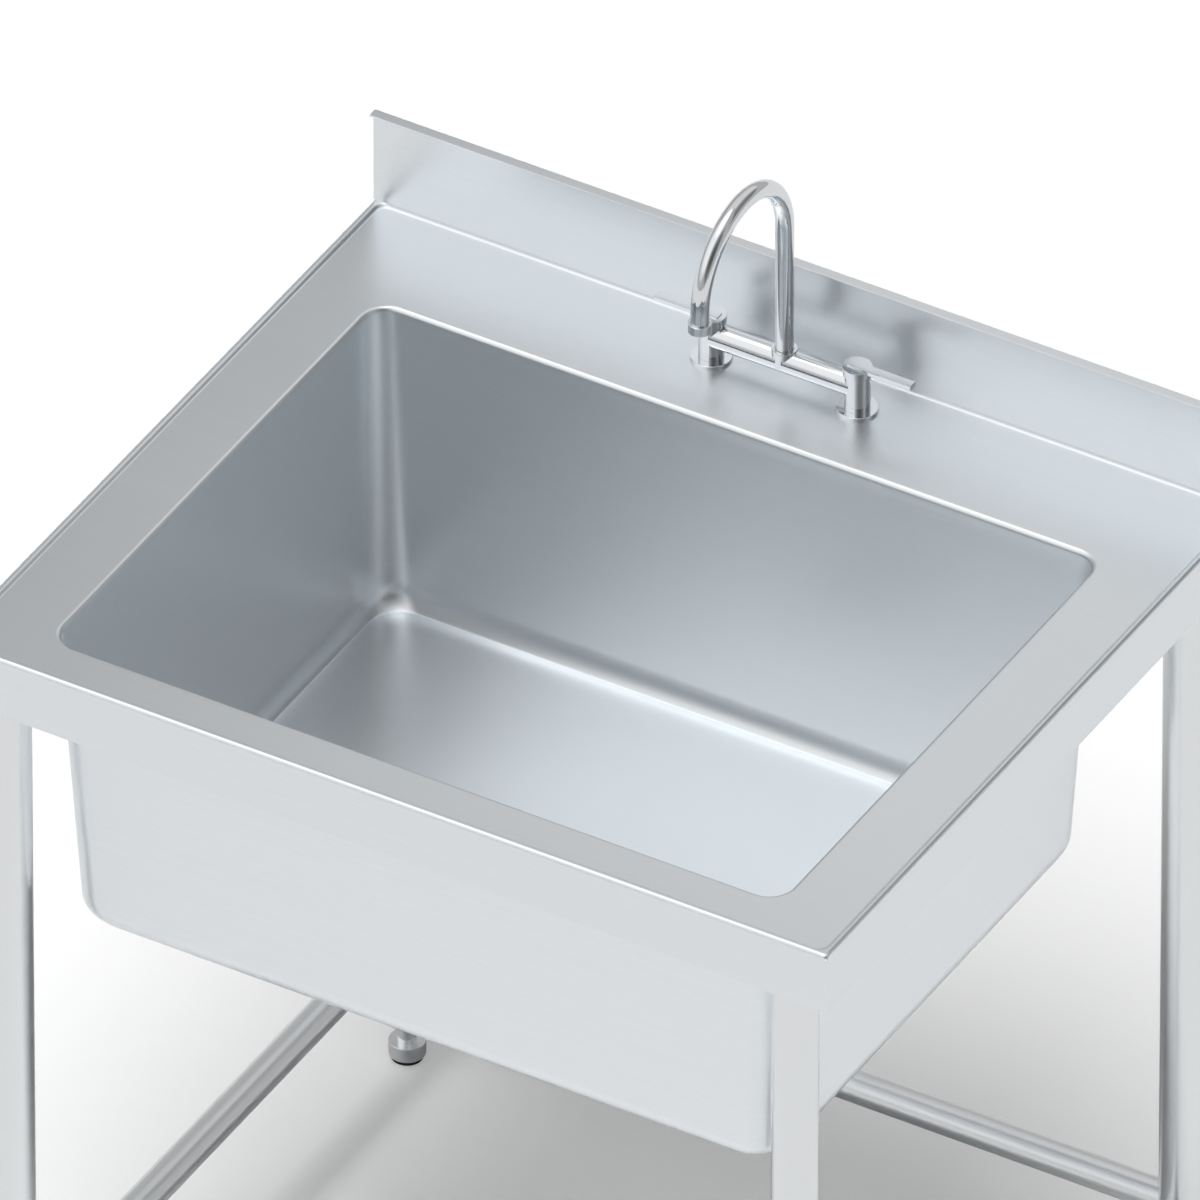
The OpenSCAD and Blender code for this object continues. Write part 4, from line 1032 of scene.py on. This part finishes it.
def make_world():
    """White for the camera; a grey studio with one bright side in reflections; dim as a lamp."""
    world = bpy.data.worlds.new("studio")
    bpy.context.scene.world = world
    world.use_nodes = True
    tree = world.node_tree
    background = tree.nodes["Background"]
    background.inputs["Color"].default_value = (1, 1, 1, 1)
    light = tree.nodes.new("ShaderNodeLightPath")
    place = tree.nodes.new("ShaderNodeTexCoord")
    sides = []
    for towards, stops in ((STUDIO_FROM, STUDIO), (DARK_FROM, DARK_SIDE), (STRIP_FROM, STRIP)):
        dot = tree.nodes.new("ShaderNodeVectorMath")
        dot.operation = "DOT_PRODUCT"
        dot.inputs[1].default_value = towards.normalized()
        tree.links.new(place.outputs["Generated"], dot.inputs[0])
        sides.append(ramp(tree, dot.outputs["Value"], stops))
    studio = tree.nodes.new("ShaderNodeMath")
    studio.operation = "MULTIPLY_ADD"
    link_all(tree, *zip(sides, studio.inputs))
    level = choose(tree, light.outputs["Is Glossy Ray"], DAYLIGHT, studio.outputs["Value"])
    level = choose(tree, light.outputs["Is Camera Ray"], level, 1.0)
    tree.links.new(level, background.inputs["Strength"])


def make_panel():
    """Overhead panel that only reflections see, dim at both ends."""
    (x0, y0), (x1, y1) = PANEL_LOW, PANEL_HIGH
    corners = [(x0, y0, PANEL_Z), (x1, y0, PANEL_Z), (x1, y1, PANEL_Z), (x0, y1, PANEL_Z)]
    mesh = bpy.data.meshes.new("panel")
    mesh.from_pydata(corners, [], [(0, 1, 2, 3)])
    panel = bpy.data.objects.new("panel", mesh)
    bpy.context.scene.collection.objects.link(panel)
    made = bpy.data.materials.new("panel")
    made.use_nodes = True
    tree = made.node_tree
    tree.nodes.clear()
    output = tree.nodes.new("ShaderNodeOutputMaterial")
    glow = tree.nodes.new("ShaderNodeEmission")
    place = tree.nodes.new("ShaderNodeTexCoord")
    split = tree.nodes.new("ShaderNodeSeparateXYZ")
    link_all(
        tree,
        (place.outputs["Object"], split.inputs["Vector"]),
        (ramp(tree, split.outputs["X"], PANEL), glow.inputs["Strength"]),
        (glow.outputs["Emission"], output.inputs["Surface"]),
    )
    mesh.materials.append(made)
    panel.visible_camera = panel.visible_diffuse = panel.visible_transmission = False
    panel.visible_shadow = panel.visible_volume_scatter = False


def make_lamp():
    """One wide soft light from above, a little to the front."""
    lamp = bpy.data.lights.new("key", "SUN")
    lamp.angle = LAMP_ANGLE
    lamp.energy = LAMP_POWER
    obj = bpy.data.objects.new("key", lamp)
    obj.location = LAMP_FROM * LAMP_DISTANCE
    obj.rotation_euler = (-LAMP_FROM).to_track_quat("-Z", "Y").to_euler()
    obj.visible_glossy = False
    bpy.context.scene.collection.objects.link(obj)


def make_camera():
    """Far camera with a long lens, which is close to the photo's parallel view."""
    back = Vector((
        math.sin(CAMERA_AZIMUTH) * math.cos(CAMERA_ELEVATION),
        -math.cos(CAMERA_AZIMUTH) * math.cos(CAMERA_ELEVATION),
        math.sin(CAMERA_ELEVATION),
    ))
    data = bpy.data.cameras.new("camera")
    data.lens, data.sensor_width = LENS, SENSOR
    data.clip_start, data.clip_end = CLIP_NEAR, CLIP_FAR
    camera = bpy.data.objects.new("camera", data)
    camera.location = CAMERA_TARGET + back * (VIEW_WIDTH * LENS / SENSOR)
    camera.rotation_mode = "QUATERNION"
    camera.rotation_quaternion = (-back).to_track_quat("-Z", "Y")
    bpy.context.scene.collection.objects.link(camera)
    bpy.context.scene.camera = camera


make_camera()
make_world()
make_lamp()
make_floor()
make_panel()
make_worktop()
make_splashback()
make_bowl()
make_legs()
make_rails()
make_feet()
make_tap_body()
make_tap_flanges()
make_levers()
make_spout()
make_aerator()
dress_nodes()

bpy.context.scene.view_settings.view_transform = "Standard"
